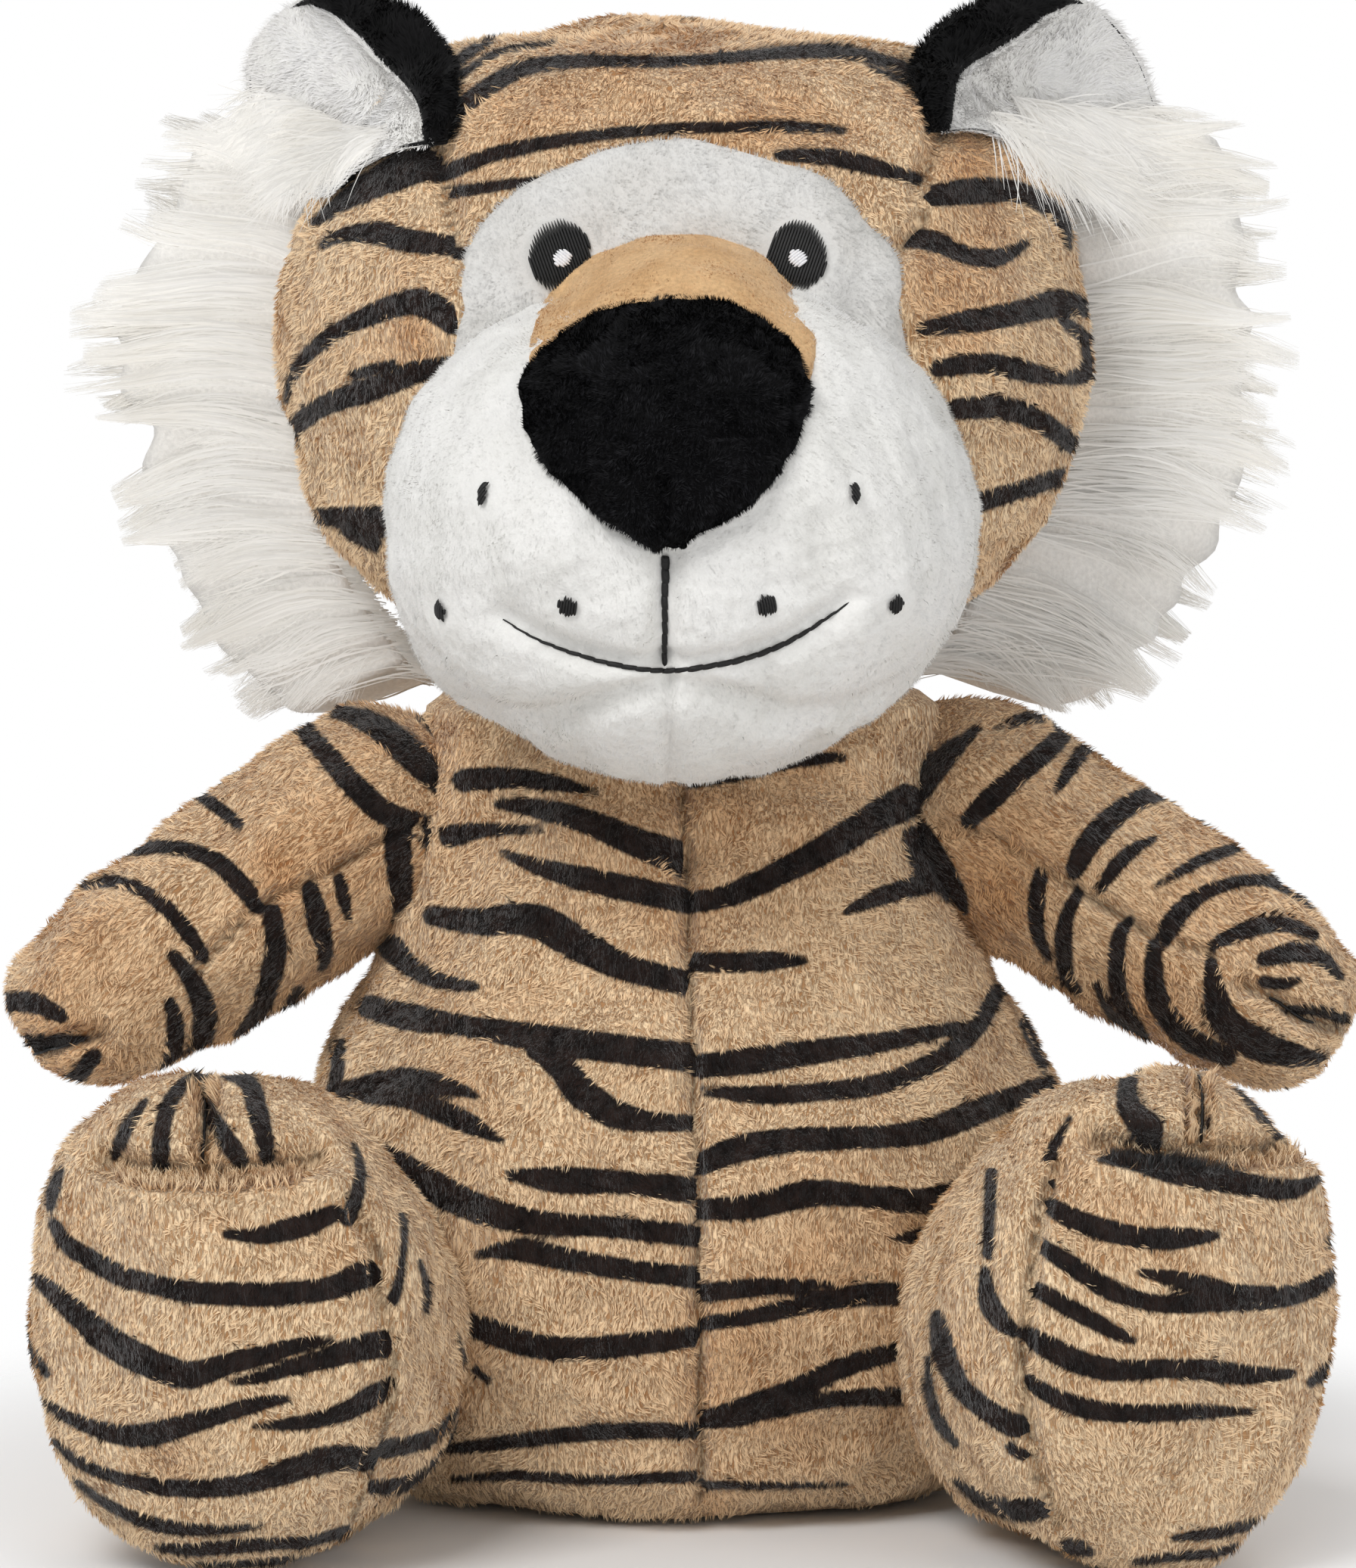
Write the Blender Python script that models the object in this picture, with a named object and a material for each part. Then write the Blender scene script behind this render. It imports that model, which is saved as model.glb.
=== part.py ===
"""Seated plush tiger: stuffed body and limbs, a padded muzzle, cupped ears and a long side mane."""

import math

import bmesh
import bpy
import numpy as np
from mathutils import Matrix, Vector

for old in list(bpy.data.objects):
    bpy.data.objects.remove(old, do_unlink=True)

# Cloth, thread and clearances
plush_wall = 0.003
felt_wall = 0.0016
thread_radius = 0.0006
embroidery_height = 0.0008
touch_gap = 0.0003
socket_gap = 0.0005
root_clearance = 0.00005
overrun = 0.004
floor_bite = 0.0005

# Torso
torso_height = 0.131
torso_width = 0.126
torso_depth = 0.106
neck_radius = 0.022

# Head
head_height = 0.102
head_width = 0.1286
head_depth = 0.096
patch_width = 0.070
patch_height = 0.064

# Muzzle, nose and chin
muzzle_width = 0.090
muzzle_height = 0.076
muzzle_reach = 0.042
nose_width = 0.044
nose_height = 0.0375
nose_padding = 0.0050
bridge_width = 0.046
bridge_height = 0.057
bridge_reach = 0.030
smile_width = 0.053
smile_drop = 0.009
mouth_seam_length = 0.017

# Eyes and whisker dots
eye_width = 0.0090
eye_height = 0.0106
eye_spacing = 0.036
highlight_width = 0.0030
whisker_dot_width = 0.0027

# Ears and mane
ear_width = 0.038
ear_height = 0.024
ear_cup = 0.009
ear_spacing = 0.094
ear_turn = math.radians(42.0)
ear_forward = 0.012
ear_tilt = math.radians(24.0)
ear_sink = 0.0057
mane_reach = 0.096
mane_root_thickness = 0.013
mane_edge_thickness = 0.003

# Arms
arm_length = 0.067
arm_radius = 0.0185
arm_droop = math.radians(31.5)
arm_lean = math.radians(12.0)
arm_lift = math.radians(35.0)

# Legs
leg_length = 0.0665
hip_radius = 0.0255
foot_width = 0.064
foot_height = 0.077
leg_splay = math.radians(19.0)
leg_lift = math.radians(18.0)

# Tail
tail_length = 0.062
tail_radius = 0.0085
tail_droop = math.radians(9.0)

# How finely round forms are divided
body_sides = 28
limb_sides = 20
filling_sides = 16
outline_steps = 24
dot_steps = 10
smile_steps = 16
seam_steps = 8
padding_steps = 9
root_steps = 5
tail_steps = 4
ear_rows = 7
ear_columns = 8
mane_steps = 26
mane_end_steps = 4
arm_sweep_steps = 5
leg_sweep_steps = 5

# How square ovals are, where 2 is a plain ellipse, and how full a padded form is towards its front
torso_squareness = 2.15
head_squareness = 2.1
padding_squareness = 2.15
leg_squareness = 2.1
ear_squareness = 2.4
padding_fullness = 0.92

# Torso outline from the seat up: height, half width, half depth and forward belly, as shares
torso_shares = (
    (0.000, 0.730, 0.720, 0.00),
    (0.038, 0.860, 0.855, 0.01),
    (0.107, 0.935, 0.930, 0.03),
    (0.214, 0.985, 0.985, 0.05),
    (0.344, 1.000, 1.000, 0.06),
    (0.481, 0.963, 0.960, 0.05),
    (0.553, 0.893, 0.895, 0.04),
    (0.626, 0.810, 0.820, 0.03),
    (0.725, 0.725, 0.740, 0.02),
    (0.817, 0.645, 0.660, 0.01),
    (0.900, 0.545, 0.570, 0.00),
    (0.962, 0.430, 0.470, 0.00),
)
shoulder_height_share = 0.817
hip_height_share = 0.229
hip_out_share = 0.87
tail_height_share = 0.14
pivot_stand_off_share = 0.42
shoulder_forward_share = 0.04

# Head outline from the neck up: height, half width and half depth, as shares
head_shares = (
    (0.031, 0.520, 0.560),
    (0.085, 0.690, 0.700),
    (0.180, 0.850, 0.850),
    (0.300, 0.955, 0.955),
    (0.430, 0.995, 0.990),
    (0.535, 1.000, 1.000),
    (0.650, 0.968, 0.978),
    (0.770, 0.885, 0.910),
    (0.870, 0.775, 0.810),
    (0.950, 0.640, 0.690),
    (0.985, 0.530, 0.580),
    (1.000, 0.380, 0.420),
)
patch_centre_share = 0.52
muzzle_centre_share = 0.242
muzzle_depth_share = 0.90
nose_bottom_share = 0.2275
nose_form_centre_share = 0.227
nose_form_width_share = 1.55
nose_form_height_share = 0.90
bridge_centre_share = 0.404
chin_line_share = 0.335
eye_height_share = 0.648
ear_base_share = 0.80
ear_narrowing_share = 0.12
ear_cup_fade_share = 0.35
mane_centre_share = 0.48
mane_back_share = 0.19
mane_root_share = 0.74
mane_end_thickness_share = 0.45
thread_lift_share = 1.2

# Arm outline from the shoulder pivot to the paw: place along it, half height and half depth, as shares
arm_shares = (
    (0.00, 1.000, 1.000),
    (0.20, 1.000, 0.985),
    (0.40, 0.975, 0.950),
    (0.60, 0.925, 0.900),
    (0.75, 0.855, 0.830),
    (0.87, 0.725, 0.700),
    (0.95, 0.520, 0.500),
    (0.985, 0.320, 0.310),
)
arm_cavity_share = 0.26

# Leg outline from the hip pivot to the sole: place along it, half width, underside and top, as shares
leg_shares = (
    (0.14, 0.845, 0.028, 0.757),
    (0.28, 0.900, 0.006, 0.815),
    (0.42, 0.955, 0.000, 0.890),
    (0.56, 0.990, 0.000, 0.962),
    (0.68, 0.985, 0.000, 0.998),
    (0.79, 0.925, 0.012, 0.985),
    (0.89, 0.760, 0.075, 0.900),
    (0.96, 0.500, 0.190, 0.740),
    (0.99, 0.270, 0.300, 0.600),
)
sole_centre_share = 0.45
leg_cavity_share = 0.28
root_mouth_share = 0.45

# Nose outline, right half from the top to the tip: half width and height, as shares
nose_shares = (
    (0.00, 1.000),
    (0.34, 0.985),
    (0.64, 0.910),
    (0.87, 0.770),
    (0.985, 0.600),
    (1.00, 0.470),
    (0.92, 0.330),
    (0.73, 0.195),
    (0.46, 0.085),
    (0.20, 0.020),
    (0.00, 0.000),
)

# Whisker dots: how far out and up from the muzzle's centre, as shares of its half sizes
whisker_dot_shares = {"upper": (0.61, 0.18), "lower_outer": (0.75, -0.26), "lower_inner": (0.33, -0.26)}

# Mane, from beside the ear down to the jaw: angle from level as a share of a right angle, and reach share
mane_shares = (
    (0.36, 0.84),
    (0.29, 0.93),
    (0.21, 0.90),
    (0.13, 0.97),
    (0.05, 1.00),
    (-0.04, 0.96),
    (-0.12, 0.97),
    (-0.20, 0.94),
    (-0.28, 0.96),
    (-0.35, 0.93),
)

# Mane in section, from its root to its edge: place along it and thickness, as shares
mane_section_shares = ((0.00, 1.00), (0.55, 0.95), (0.85, 0.62))

# Places that follow from the sizes above
neck_height = torso_height + touch_gap
hip_height = hip_height_share * torso_height
shoulder_height = shoulder_height_share * torso_height
in_front = -head_depth - muzzle_reach


def material(name, colour, roughness):
    """A non-metallic material of one plain colour."""
    made = bpy.data.materials.new(name)
    made.use_nodes = True
    shader = made.node_tree.nodes["Principled BSDF"]
    shader.inputs["Base Color"].default_value = (*colour, 1.0)
    shader.inputs["Roughness"].default_value = roughness
    shader.inputs["Metallic"].default_value = 0.0
    return made


tan_plush = material("tan_plush", (0.56, 0.36, 0.19), 0.95)
smooth_tan = material("smooth_tan", (0.64, 0.41, 0.21), 0.85)
white_plush = material("white_plush", (0.78, 0.77, 0.74), 0.95)
long_white_fur = material("long_white_fur", (0.72, 0.70, 0.66), 0.90)
black_knit = material("black_knit", (0.012, 0.012, 0.013), 0.80)
black_plush = material("black_plush", (0.015, 0.014, 0.014), 0.95)
black_thread = material("black_thread", (0.012, 0.011, 0.011), 0.60)
white_thread = material("white_thread", (0.80, 0.80, 0.80), 0.60)
fibre = material("fibre", (0.85, 0.85, 0.85), 1.00)


def on_curve(rows, key):
    """The values beside a key in the first column, on a smooth curve through the rows."""
    keys = np.array([row[0] for row in rows])
    values = np.array([row[1:] for row in rows])
    slopes = np.gradient(values, keys, axis=0)
    low = int(np.clip(np.searchsorted(keys, key) - 1, 0, len(keys) - 2))
    span = keys[low + 1] - keys[low]
    t = (key - keys[low]) / span
    start = (1 + 2 * t) * (1 - t) ** 2 * values[low] + t * (1 - t) ** 2 * span * slopes[low]
    end = t * t * (3 - 2 * t) * values[low + 1] + t * t * (t - 1) * span * slopes[low + 1]
    return start + end


def ring(centre, across, up, half_across, half_up, sides, squareness=2.0, start=0.0):
    """A closed oval of points round a centre, rounder or squarer, from a share of a step round."""
    points = []
    for step in range(sides):
        angle = math.tau * (step + start) / sides
        c, s = math.cos(angle), math.sin(angle)
        wide = math.copysign(abs(c) ** (2 / squareness), c) * half_across
        tall = math.copysign(abs(s) ** (2 / squareness), s) * half_up
        points.append(centre + across * wide + up * tall)
    return points


def skin(name, rings, finish, parent=None, looped=False):
    """An object whose surface runs from ring to ring; a ring of one point is a tip."""
    bm = bmesh.new()
    rows = [[bm.verts.new(point) for point in points] for points in rings]
    pairs = list(zip(rows, rows[1:]))
    if looped:
        pairs.append((rows[-1], rows[0]))
    for low, high in pairs:
        count = max(len(low), len(high))
        for i in range(count):
            j = (i + 1) % count
            corners = [low[i % len(low)], low[j % len(low)], high[j % len(high)], high[i % len(high)]]
            bm.faces.new(list(dict.fromkeys(corners)))
    for end in (rows[0], rows[-1]):
        if len(end) > 1 and not looped:
            bm.faces.new(end)
    bmesh.ops.recalc_face_normals(bm, faces=bm.faces)
    return add(name, bm, finish, parent)


def add(name, bm, finish, parent=None):
    """An object made of a finished mesh, shaded smooth but for its sharp edges."""
    mesh = bpy.data.meshes.new(name)
    bm.to_mesh(mesh)
    bm.free()
    mesh.shade_smooth()
    mesh.set_sharp_from_angle(angle=math.radians(50))
    mesh.materials.append(finish)
    made = bpy.data.objects.new(name, mesh)
    bpy.context.collection.objects.link(made)
    made.parent = parent
    return made


def pivot(name, place):
    """An empty on a joint's axis, which carries the pieces that turn there."""
    made = bpy.data.objects.new(name, None)
    made.location = place
    bpy.context.collection.objects.link(made)
    return made


def hidden(cutter):
    """Marks a piece as a cutter, which isn't part of the toy."""
    cutter.hide_render = True
    cutter.display_type = "WIRE"
    return cutter


def shape_by(piece, cutter, operation="DIFFERENCE"):
    """Cuts a piece with a cutter, or keeps only what lies inside it."""
    cut = piece.modifiers.new(cutter.name, "BOOLEAN")
    cut.operation = operation
    cut.object = cutter
    return piece


def ball_cutter(name, place, radius, parent=None):
    """A hidden sphere that makes room for the round root of a limb, flats and all."""
    bm = bmesh.new()
    rows = body_sides // 2
    radius /= math.cos(math.pi / body_sides) * math.cos(math.pi / (2 * rows))
    bmesh.ops.create_uvsphere(
        bm, u_segments=body_sides, v_segments=rows, radius=radius, matrix=Matrix.Translation(place)
    )
    return hidden(add(name, bm, fibre, parent))


def root_balls(label, radius, parent):
    """Two hidden balls round a limb's pivot: its socket in the torso, and the room that its root keeps."""
    middle = (0, 0, 0)
    socket = ball_cutter(label + "_socket", middle, radius + socket_gap, parent)
    return socket, ball_cutter(label + "_root", middle, radius + root_clearance, parent)


def prism_cutter(name, outline, front, back, parent):
    """A hidden bar of constant outline, in the plane of the face, that runs from front to back."""
    rings = [[Vector((x, depth, z)) for x, z in outline] for depth in (front, back)]
    return hidden(skin(name, rings, fibre, parent))


def oval(centre_x, centre_z, half_width, half_height, steps=outline_steps, squareness=2.0):
    """The points of an oval in the plane of the face."""
    centre = Vector((centre_x, 0, centre_z))
    points = ring(centre, Vector((1, 0, 0)), Vector((0, 0, 1)), half_width, half_height, steps, squareness)
    return [(point.x, point.z) for point in points]


right, back, up = Vector((1, 0, 0)), Vector((0, 1, 0)), Vector((0, 0, 1))


def torso_half_sizes(share):
    """Half width, half depth and forward shift of the torso at a share of its height."""
    wide, deep, belly = on_curve(torso_shares + ((1.0, 0.0, 0.0, 0.0),), min(share, torso_shares[-1][0]))
    return wide * torso_width / 2, deep * torso_depth / 2, belly * torso_depth / 2


def torso_ring(share, inset, sides, height=None):
    """One level of the torso, drawn in or out by an inset."""
    if share >= 1:
        half_width, half_depth, belly = neck_radius, neck_radius, 0
    else:
        half_width, half_depth, belly = torso_half_sizes(share)
    z = share * torso_height if height is None else height
    centre = Vector((0, -belly, z))
    return ring(centre, right, back, half_width - inset, half_depth - inset, sides, torso_squareness)


torso_levels = (
    0, 0.02, 0.06, 0.107, 0.16, 0.214, 0.28, 0.344, 0.41, 0.481, 0.553, 0.626, 0.725, 0.817, 0.9, 0.962, 1,
)
filling_levels = (0.03, 0.06, 0.16, 0.28, 0.41, 0.553, 0.69, 0.817, 0.92, 1)


def torso_form(name, growth):
    """A hidden solid of the whole torso, grown by a clearance."""
    rings = [torso_ring(level, -growth, body_sides) for level in torso_levels]
    for points in (rings[0], rings[-1]):
        for point in points:
            point.z += math.copysign(growth, point.z - torso_height / 2)
    return hidden(skin(name, rings, fibre))


def limb_room(name, limb, root, axis=None, lift=0, steps=0):
    """The torso as a limb meets it at rest and as it lifts, less the room that the limb's root keeps."""
    room = torso_form(name, touch_gap)
    place = limb.location
    for step in range(1, steps + 1):
        turned = torso_form(f"{name}_{step}", socket_gap)
        turn = Matrix.Rotation(-lift * step / steps, 3, axis)
        turned.rotation_euler = turn.to_euler()
        turned.location = place - turn @ place
        shape_by(room, turned, "UNION")
    return shape_by(room, root)


def shoulder_room(name):
    """A hidden round solid that holds the shoulders however far the head is turned."""
    rings = []
    for share in torso_levels[-5:-1]:
        reach = torso_half_sizes(share)[0] + socket_gap
        rings.append(ring(Vector((0, 0, share * torso_height)), right, back, reach, reach, body_sides))
    top = neck_radius + socket_gap
    rings.append(ring(Vector((0, 0, neck_height)), right, back, top, top, body_sides))
    return hidden(skin(name, rings, fibre))


def make_torso():
    """The striped cover, open at the seat and the neck, with its seat panel and filling."""
    outside = [torso_ring(level, 0, body_sides) for level in torso_levels]
    inside = [torso_ring(level, plush_wall, body_sides) for level in reversed((0,) + filling_levels)]
    cover = skin("torso_cover", outside + inside, tan_plush, looped=True)
    panel_rings = [torso_ring(0, plush_wall + touch_gap, body_sides, z) for z in (0, plush_wall)]
    skin("seat_panel", panel_rings, tan_plush)
    inset = plush_wall + touch_gap
    stuffing = [torso_ring(level, inset, body_sides) for level in filling_levels]
    filling = skin("torso_filling", stuffing, fibre)
    return cover, filling


def head_half_sizes(share):
    """Half width and half depth of the head at a share of its height."""
    wide, deep = on_curve(head_shares, max(share, head_shares[0][0]))
    return wide * head_width / 2, deep * head_depth / 2


def head_ring(share, growth, sides):
    """One level of the head, above the neck pivot, grown or drawn in."""
    z = share * head_height
    if share <= 0:
        return ring(Vector((0, 0, 0)), right, back, neck_radius + growth, neck_radius + growth, sides)
    half_width, half_depth = head_half_sizes(share)
    middle = head_height / 2
    z = middle + (z - middle) * (1 + growth / middle)
    centre = Vector((0, 0, z))
    return ring(centre, right, back, half_width + growth, half_depth + growth, sides, head_squareness)


head_levels = (0, 0.031, 0.085, 0.18, 0.3, 0.43, 0.535, 0.65, 0.77, 0.87, 0.95, 0.985, 1)
head_inner_levels = (0.05, 0.18, 0.36, 0.535, 0.7, 0.84, 0.94, 0.985)


def head_form(name, growth, parent):
    """A hidden solid of the whole head, grown by a clearance."""
    rings = [head_ring(level, growth, body_sides) for level in head_levels]
    return hidden(skin(name, rings, fibre, parent))


def head_shell(name, finish, parent):
    """The hollow skin of the head, open at the neck."""
    outside = [head_ring(level, 0, body_sides) for level in reversed(head_levels)]
    inside = [head_ring(level, -plush_wall, body_sides) for level in (0,) + head_inner_levels]
    return skin(name, outside + inside, finish, parent)


face_back = -muzzle_depth_share * head_depth / 2
nose_bottom = nose_bottom_share * head_height
muzzle_centre = Vector((0, face_back, muzzle_centre_share * head_height))
muzzle_half = Vector((muzzle_width / 2, muzzle_reach, muzzle_height / 2))
bridge_centre = Vector((0, face_back, bridge_centre_share * head_height))
bridge_half = Vector((bridge_width / 2, bridge_reach, bridge_height / 2))
nose_centre = Vector((0, face_back, nose_bottom + nose_form_centre_share * nose_height))
nose_half = Vector((
    nose_form_width_share * nose_width / 2,
    muzzle_reach + nose_padding,
    nose_form_height_share * nose_height,
))


def padded_form(name, centre, half, growth, finish, parent):
    """A closed padded form that bulges forward from a centre, grown or drawn in."""
    wide, reach, tall = (size + growth for size in half)
    rows = [[centre - back * reach]]
    for step in range(1, padding_steps + 1):
        angle = math.pi * step / (padding_steps + 1)
        size = math.sin(angle) ** padding_fullness
        middle = centre - back * reach * math.cos(angle)
        rows.append(ring(middle, right, up, wide * size, tall * size, body_sides, padding_squareness, 0.5))
    rows.append([centre + back * reach])
    return skin(name, rows, finish, parent)


def padded_front(centre, half, x, z, growth):
    """How far forward a padded form's surface lies at a place on the face."""
    wide, reach, tall = (size + growth for size in half)
    spread = abs(x / wide) ** padding_squareness + abs((z - centre.z) / tall) ** padding_squareness
    sine = min(1.0, spread ** (1 / padding_squareness)) ** (1 / padding_fullness)
    return centre.y - reach * math.sqrt(1 - sine * sine)


def patch_outline(growth):
    """The outline of the white face patch, grown by a clearance."""
    centre = patch_centre_share * head_height
    half_width, half_height = patch_width / 2 + growth, patch_height / 2 + growth
    return oval(0, centre, half_width, half_height, outline_steps, padding_squareness)


def nose_outline(growth):
    """The outline of the nose, a rounded triangle with its tip down."""
    half = []
    for wide, high in nose_shares:
        x = wide * (nose_width / 2 + growth)
        half.append((x, nose_bottom - growth + high * (nose_height + 2 * growth)))
    return half + [(-x, z) for x, z in reversed(half[1:-1])]


def make_head(parent):
    """Head cover, filling and face patch."""
    front = -head_depth
    cover = head_shell("head_cover", tan_plush, parent)
    shape_by(cover, prism_cutter("patch_cutout", patch_outline(touch_gap), front, 0, parent))
    patch = head_shell("face_patch", white_plush, parent)
    shape_by(patch, prism_cutter("patch_panel", patch_outline(0), front, 0, parent), "INTERSECT")
    inset = plush_wall + touch_gap
    stuffing = [head_ring(level, -inset, body_sides) for level in (0,) + head_inner_levels]
    skin("head_filling", stuffing, fibre, parent)


def make_muzzle(parent, head_room, neck_room):
    """The padded white muzzle with its filling, and the chin panel sewn under it."""
    chin_line = muzzle_centre.z - chin_line_share * muzzle_height
    low = chin_line - muzzle_height
    for name, growth in (("muzzle_cover", touch_gap / 2), ("chin_panel", -touch_gap / 2)):
        piece = padded_form(name, muzzle_centre, muzzle_half, 0, white_plush, parent)
        high = chin_line + growth
        edge = [(-muzzle_width, low), (muzzle_width, low), (muzzle_width, high), (-muzzle_width, high)]
        block = prism_cutter(name + "_side", edge, in_front, overrun, parent)
        shape_by(piece, block, "DIFFERENCE" if name == "muzzle_cover" else "INTERSECT")
        hollow = padded_form(name + "_hollow", muzzle_centre, muzzle_half, -plush_wall, fibre, parent)
        shape_by(piece, hidden(hollow))
        shape_by(piece, head_room)
        shape_by(piece, neck_room)
    inset = plush_wall + touch_gap
    filling = padded_form("muzzle_filling", muzzle_centre, muzzle_half, -inset, fibre, parent)
    shape_by(filling, head_room)
    shape_by(filling, neck_room)


def make_nose(parent, head_room):
    """The padded black nose, and the smooth tan bridge that runs up from its top edge."""
    muzzle_room = hidden(padded_form("muzzle_room", muzzle_centre, muzzle_half, touch_gap, fibre, parent))
    nose = padded_form("nose", nose_centre, nose_half, 0, black_knit, parent)
    shape_by(nose, prism_cutter("nose_panel", nose_outline(0), in_front, face_back, parent), "INTERSECT")
    shape_by(nose, muzzle_room)
    bridge = padded_form("nose_bridge", bridge_centre, bridge_half, 0, smooth_tan, parent)
    shape_by(bridge, prism_cutter("nose_cutout", nose_outline(touch_gap), in_front, overrun, parent))
    shape_by(bridge, muzzle_room)
    shape_by(bridge, head_room)
    bridge_room = hidden(padded_form("bridge_room", bridge_centre, bridge_half, touch_gap, fibre, parent))
    return muzzle_room, bridge_room


def make_eye(name, side, parent, rooms):
    """An embroidered eye on the face patch, with its white highlight."""
    x, z = side * eye_spacing / 2, eye_height_share * head_height
    eye = head_form(name, touch_gap + embroidery_height, parent)
    eye.hide_render, eye.display_type = False, "TEXTURED"
    eye.data.materials[0] = black_thread
    outline = oval(x, z, eye_width / 2, eye_height / 2)
    shape_by(eye, prism_cutter(name + "_outline", outline, -head_depth, 0, parent), "INTERSECT")
    shape_by(eye, head_form(name + "_bed", touch_gap, parent))
    for room in rooms:
        shape_by(eye, room)
    spark = head_form(name.replace("eye", "highlight"), 2 * (touch_gap + embroidery_height), parent)
    spark.hide_render, spark.display_type = False, "TEXTURED"
    spark.data.materials[0] = white_thread
    outline = oval(x, z, highlight_width / 2, highlight_width / 2, filling_sides)
    shape_by(spark, prism_cutter(spark.name + "_outline", outline, -head_depth, 0, parent), "INTERSECT")
    shape_by(spark, head_form(spark.name + "_bed", 2 * touch_gap + embroidery_height, parent))
    return eye


def thread(name, points, parent):
    """A line of embroidery: a round thread along the given points."""
    curve = bpy.data.curves.new(name, "CURVE")
    curve.dimensions = "3D"
    spline = curve.splines.new("POLY")
    spline.points.add(len(points) - 1)
    for slot, place in zip(spline.points, points):
        slot.co = (*place, 1)
    curve.bevel_depth = thread_radius
    curve.bevel_resolution = 1
    curve.use_fill_caps = True
    curve.materials.append(black_thread)
    made = bpy.data.objects.new(name, curve)
    bpy.context.collection.objects.link(made)
    made.parent = parent
    return made


def raised(points, across):
    """A line moved off the surface that it runs along, far enough for a thread to lie on it."""
    lift = thread_lift_share * thread_radius + touch_gap
    made = []
    for i, point in enumerate(points):
        run = points[min(i + 1, len(points) - 1)] - points[max(i - 1, 0)]
        made.append(point + across.cross(run).normalized() * lift)
    return made


def on_muzzle(x, z):
    """The place of a thread that lies on the muzzle."""
    lift = thread_radius + touch_gap
    return Vector((x, padded_front(muzzle_centre, muzzle_half, x, z, lift), z))


def make_dot(name, x, z, parent):
    """A whisker dot, embroidered on the muzzle."""
    high = touch_gap + embroidery_height
    dot = padded_form(name, muzzle_centre, muzzle_half, high, black_thread, parent)
    outline = oval(x, z, whisker_dot_width / 2, whisker_dot_width / 2, dot_steps)
    shape_by(dot, prism_cutter(name + "_outline", outline, in_front, face_back, parent), "INTERSECT")
    shape_by(dot, hidden(padded_form(name + "_bed", muzzle_centre, muzzle_half, touch_gap, fibre, parent)))


def make_mouth(parent):
    """The seam from the nose down, the smile under it, and the whisker dots."""
    smile_height = nose_bottom - mouth_seam_length
    top = nose_bottom - touch_gap - thread_radius
    low = smile_height + 2 * thread_radius + touch_gap
    seam = [on_muzzle(0, low + (top - low) * step / seam_steps) for step in range(seam_steps + 1)]
    thread("mouth_seam", seam, parent)
    smile = []
    for step in range(smile_steps + 1):
        share = 2 * step / smile_steps - 1
        smile.append(on_muzzle(share * smile_width / 2, smile_height + smile_drop * share * share))
    thread("smile_stitch", smile, parent)
    for row, (out_share, up_share) in whisker_dot_shares.items():
        for label, side in (("left", -1), ("right", 1)):
            x = muzzle_centre.x + side * out_share * muzzle_half.x
            z = muzzle_centre.z + up_share * muzzle_half.z
            make_dot(f"whisker_dot_{row}_{label}", x, z, parent)


def ear_point(across, rise, depth, side):
    """A place on the cupped ear: across it, up it, and through its thickness."""
    half = math.sqrt(max(0.0, 1 - rise ** ear_squareness)) * (1 - ear_narrowing_share * (1 - rise))
    x = across * half * ear_width / 2
    bend = (1 - (across * half) ** 2) * ear_cup
    z = rise * ear_height
    y = bend * (1 - ear_cup_fade_share * rise) + depth
    turn = Matrix.Rotation(side * ear_turn, 3, "Z")
    tilt = Matrix.Rotation(side * ear_tilt, 3, "Y")
    return tilt @ turn @ Vector((x, y, z))


def make_ear(name, side, low, high, finish, parent, head_room):
    """One layer of an ear, between two depths, seated on the head."""
    base = Vector((side * ear_spacing / 2, -ear_forward, ear_base_share * head_height))
    shares = [2 * step / ear_columns - 1 for step in range(ear_columns + 1)]
    rings = []
    for row in range(ear_rows):
        height = (ear_height + ear_sink) * math.sin(math.pi / 2 * row / ear_rows) - ear_sink
        rise = max(height / ear_height, 0)
        front = [ear_point(share, rise, low, side) for share in shares]
        behind = [ear_point(share, rise, high, side) for share in reversed(shares)]
        sink = Vector((0, 0, min(height, 0)))
        rings.append([base + point + sink for point in front + behind])
    return shape_by(skin(name, rings, finish, parent), head_room)


def make_mane(name, side, parent, head_room):
    """The long fur at one side of the head, as the fan that it fills."""
    centre = Vector((0, mane_back_share * head_depth, mane_centre_share * head_height))
    root = mane_root_share * head_width / 2
    outline = [(-angle_share, reach_share) for angle_share, reach_share in mane_shares]
    first, last = outline[0][0], outline[-1][0]
    rings = []
    for step in range(mane_steps + 1):
        key = first + (last - first) * step / mane_steps
        length = on_curve(outline, key)[0] * mane_reach - root
        angle = -key * math.pi / 2
        out = Vector((side * math.cos(angle), 0, math.sin(angle)))
        from_end = min(step, mane_steps - step, mane_end_steps) / mane_end_steps
        puff = mane_end_thickness_share + (1 - mane_end_thickness_share) * from_end
        section = [(root + place * length, thick * mane_root_thickness) for place, thick in mane_section_shares]
        section.append((root + length, mane_edge_thickness))
        front = [centre + out * far - back * puff * thick / 2 for far, thick in section]
        behind = [centre + out * far + back * puff * thick / 2 for far, thick in reversed(section)]
        rings.append(front + behind)
    return shape_by(skin(name, rings, long_white_fur, parent), head_room)


def root_rings(radius, along, across, rise, sides):
    """The round root of a limb, from its open mouth to its widest ring."""
    first = math.asin(root_mouth_share)
    rings = []
    for step in range(root_steps):
        angle = first + (math.pi / 2 - first) * step / root_steps
        size = radius * math.sin(angle)
        rings.append(ring(along * -radius * math.cos(angle), across, rise, size, size, sides))
    return rings


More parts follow.
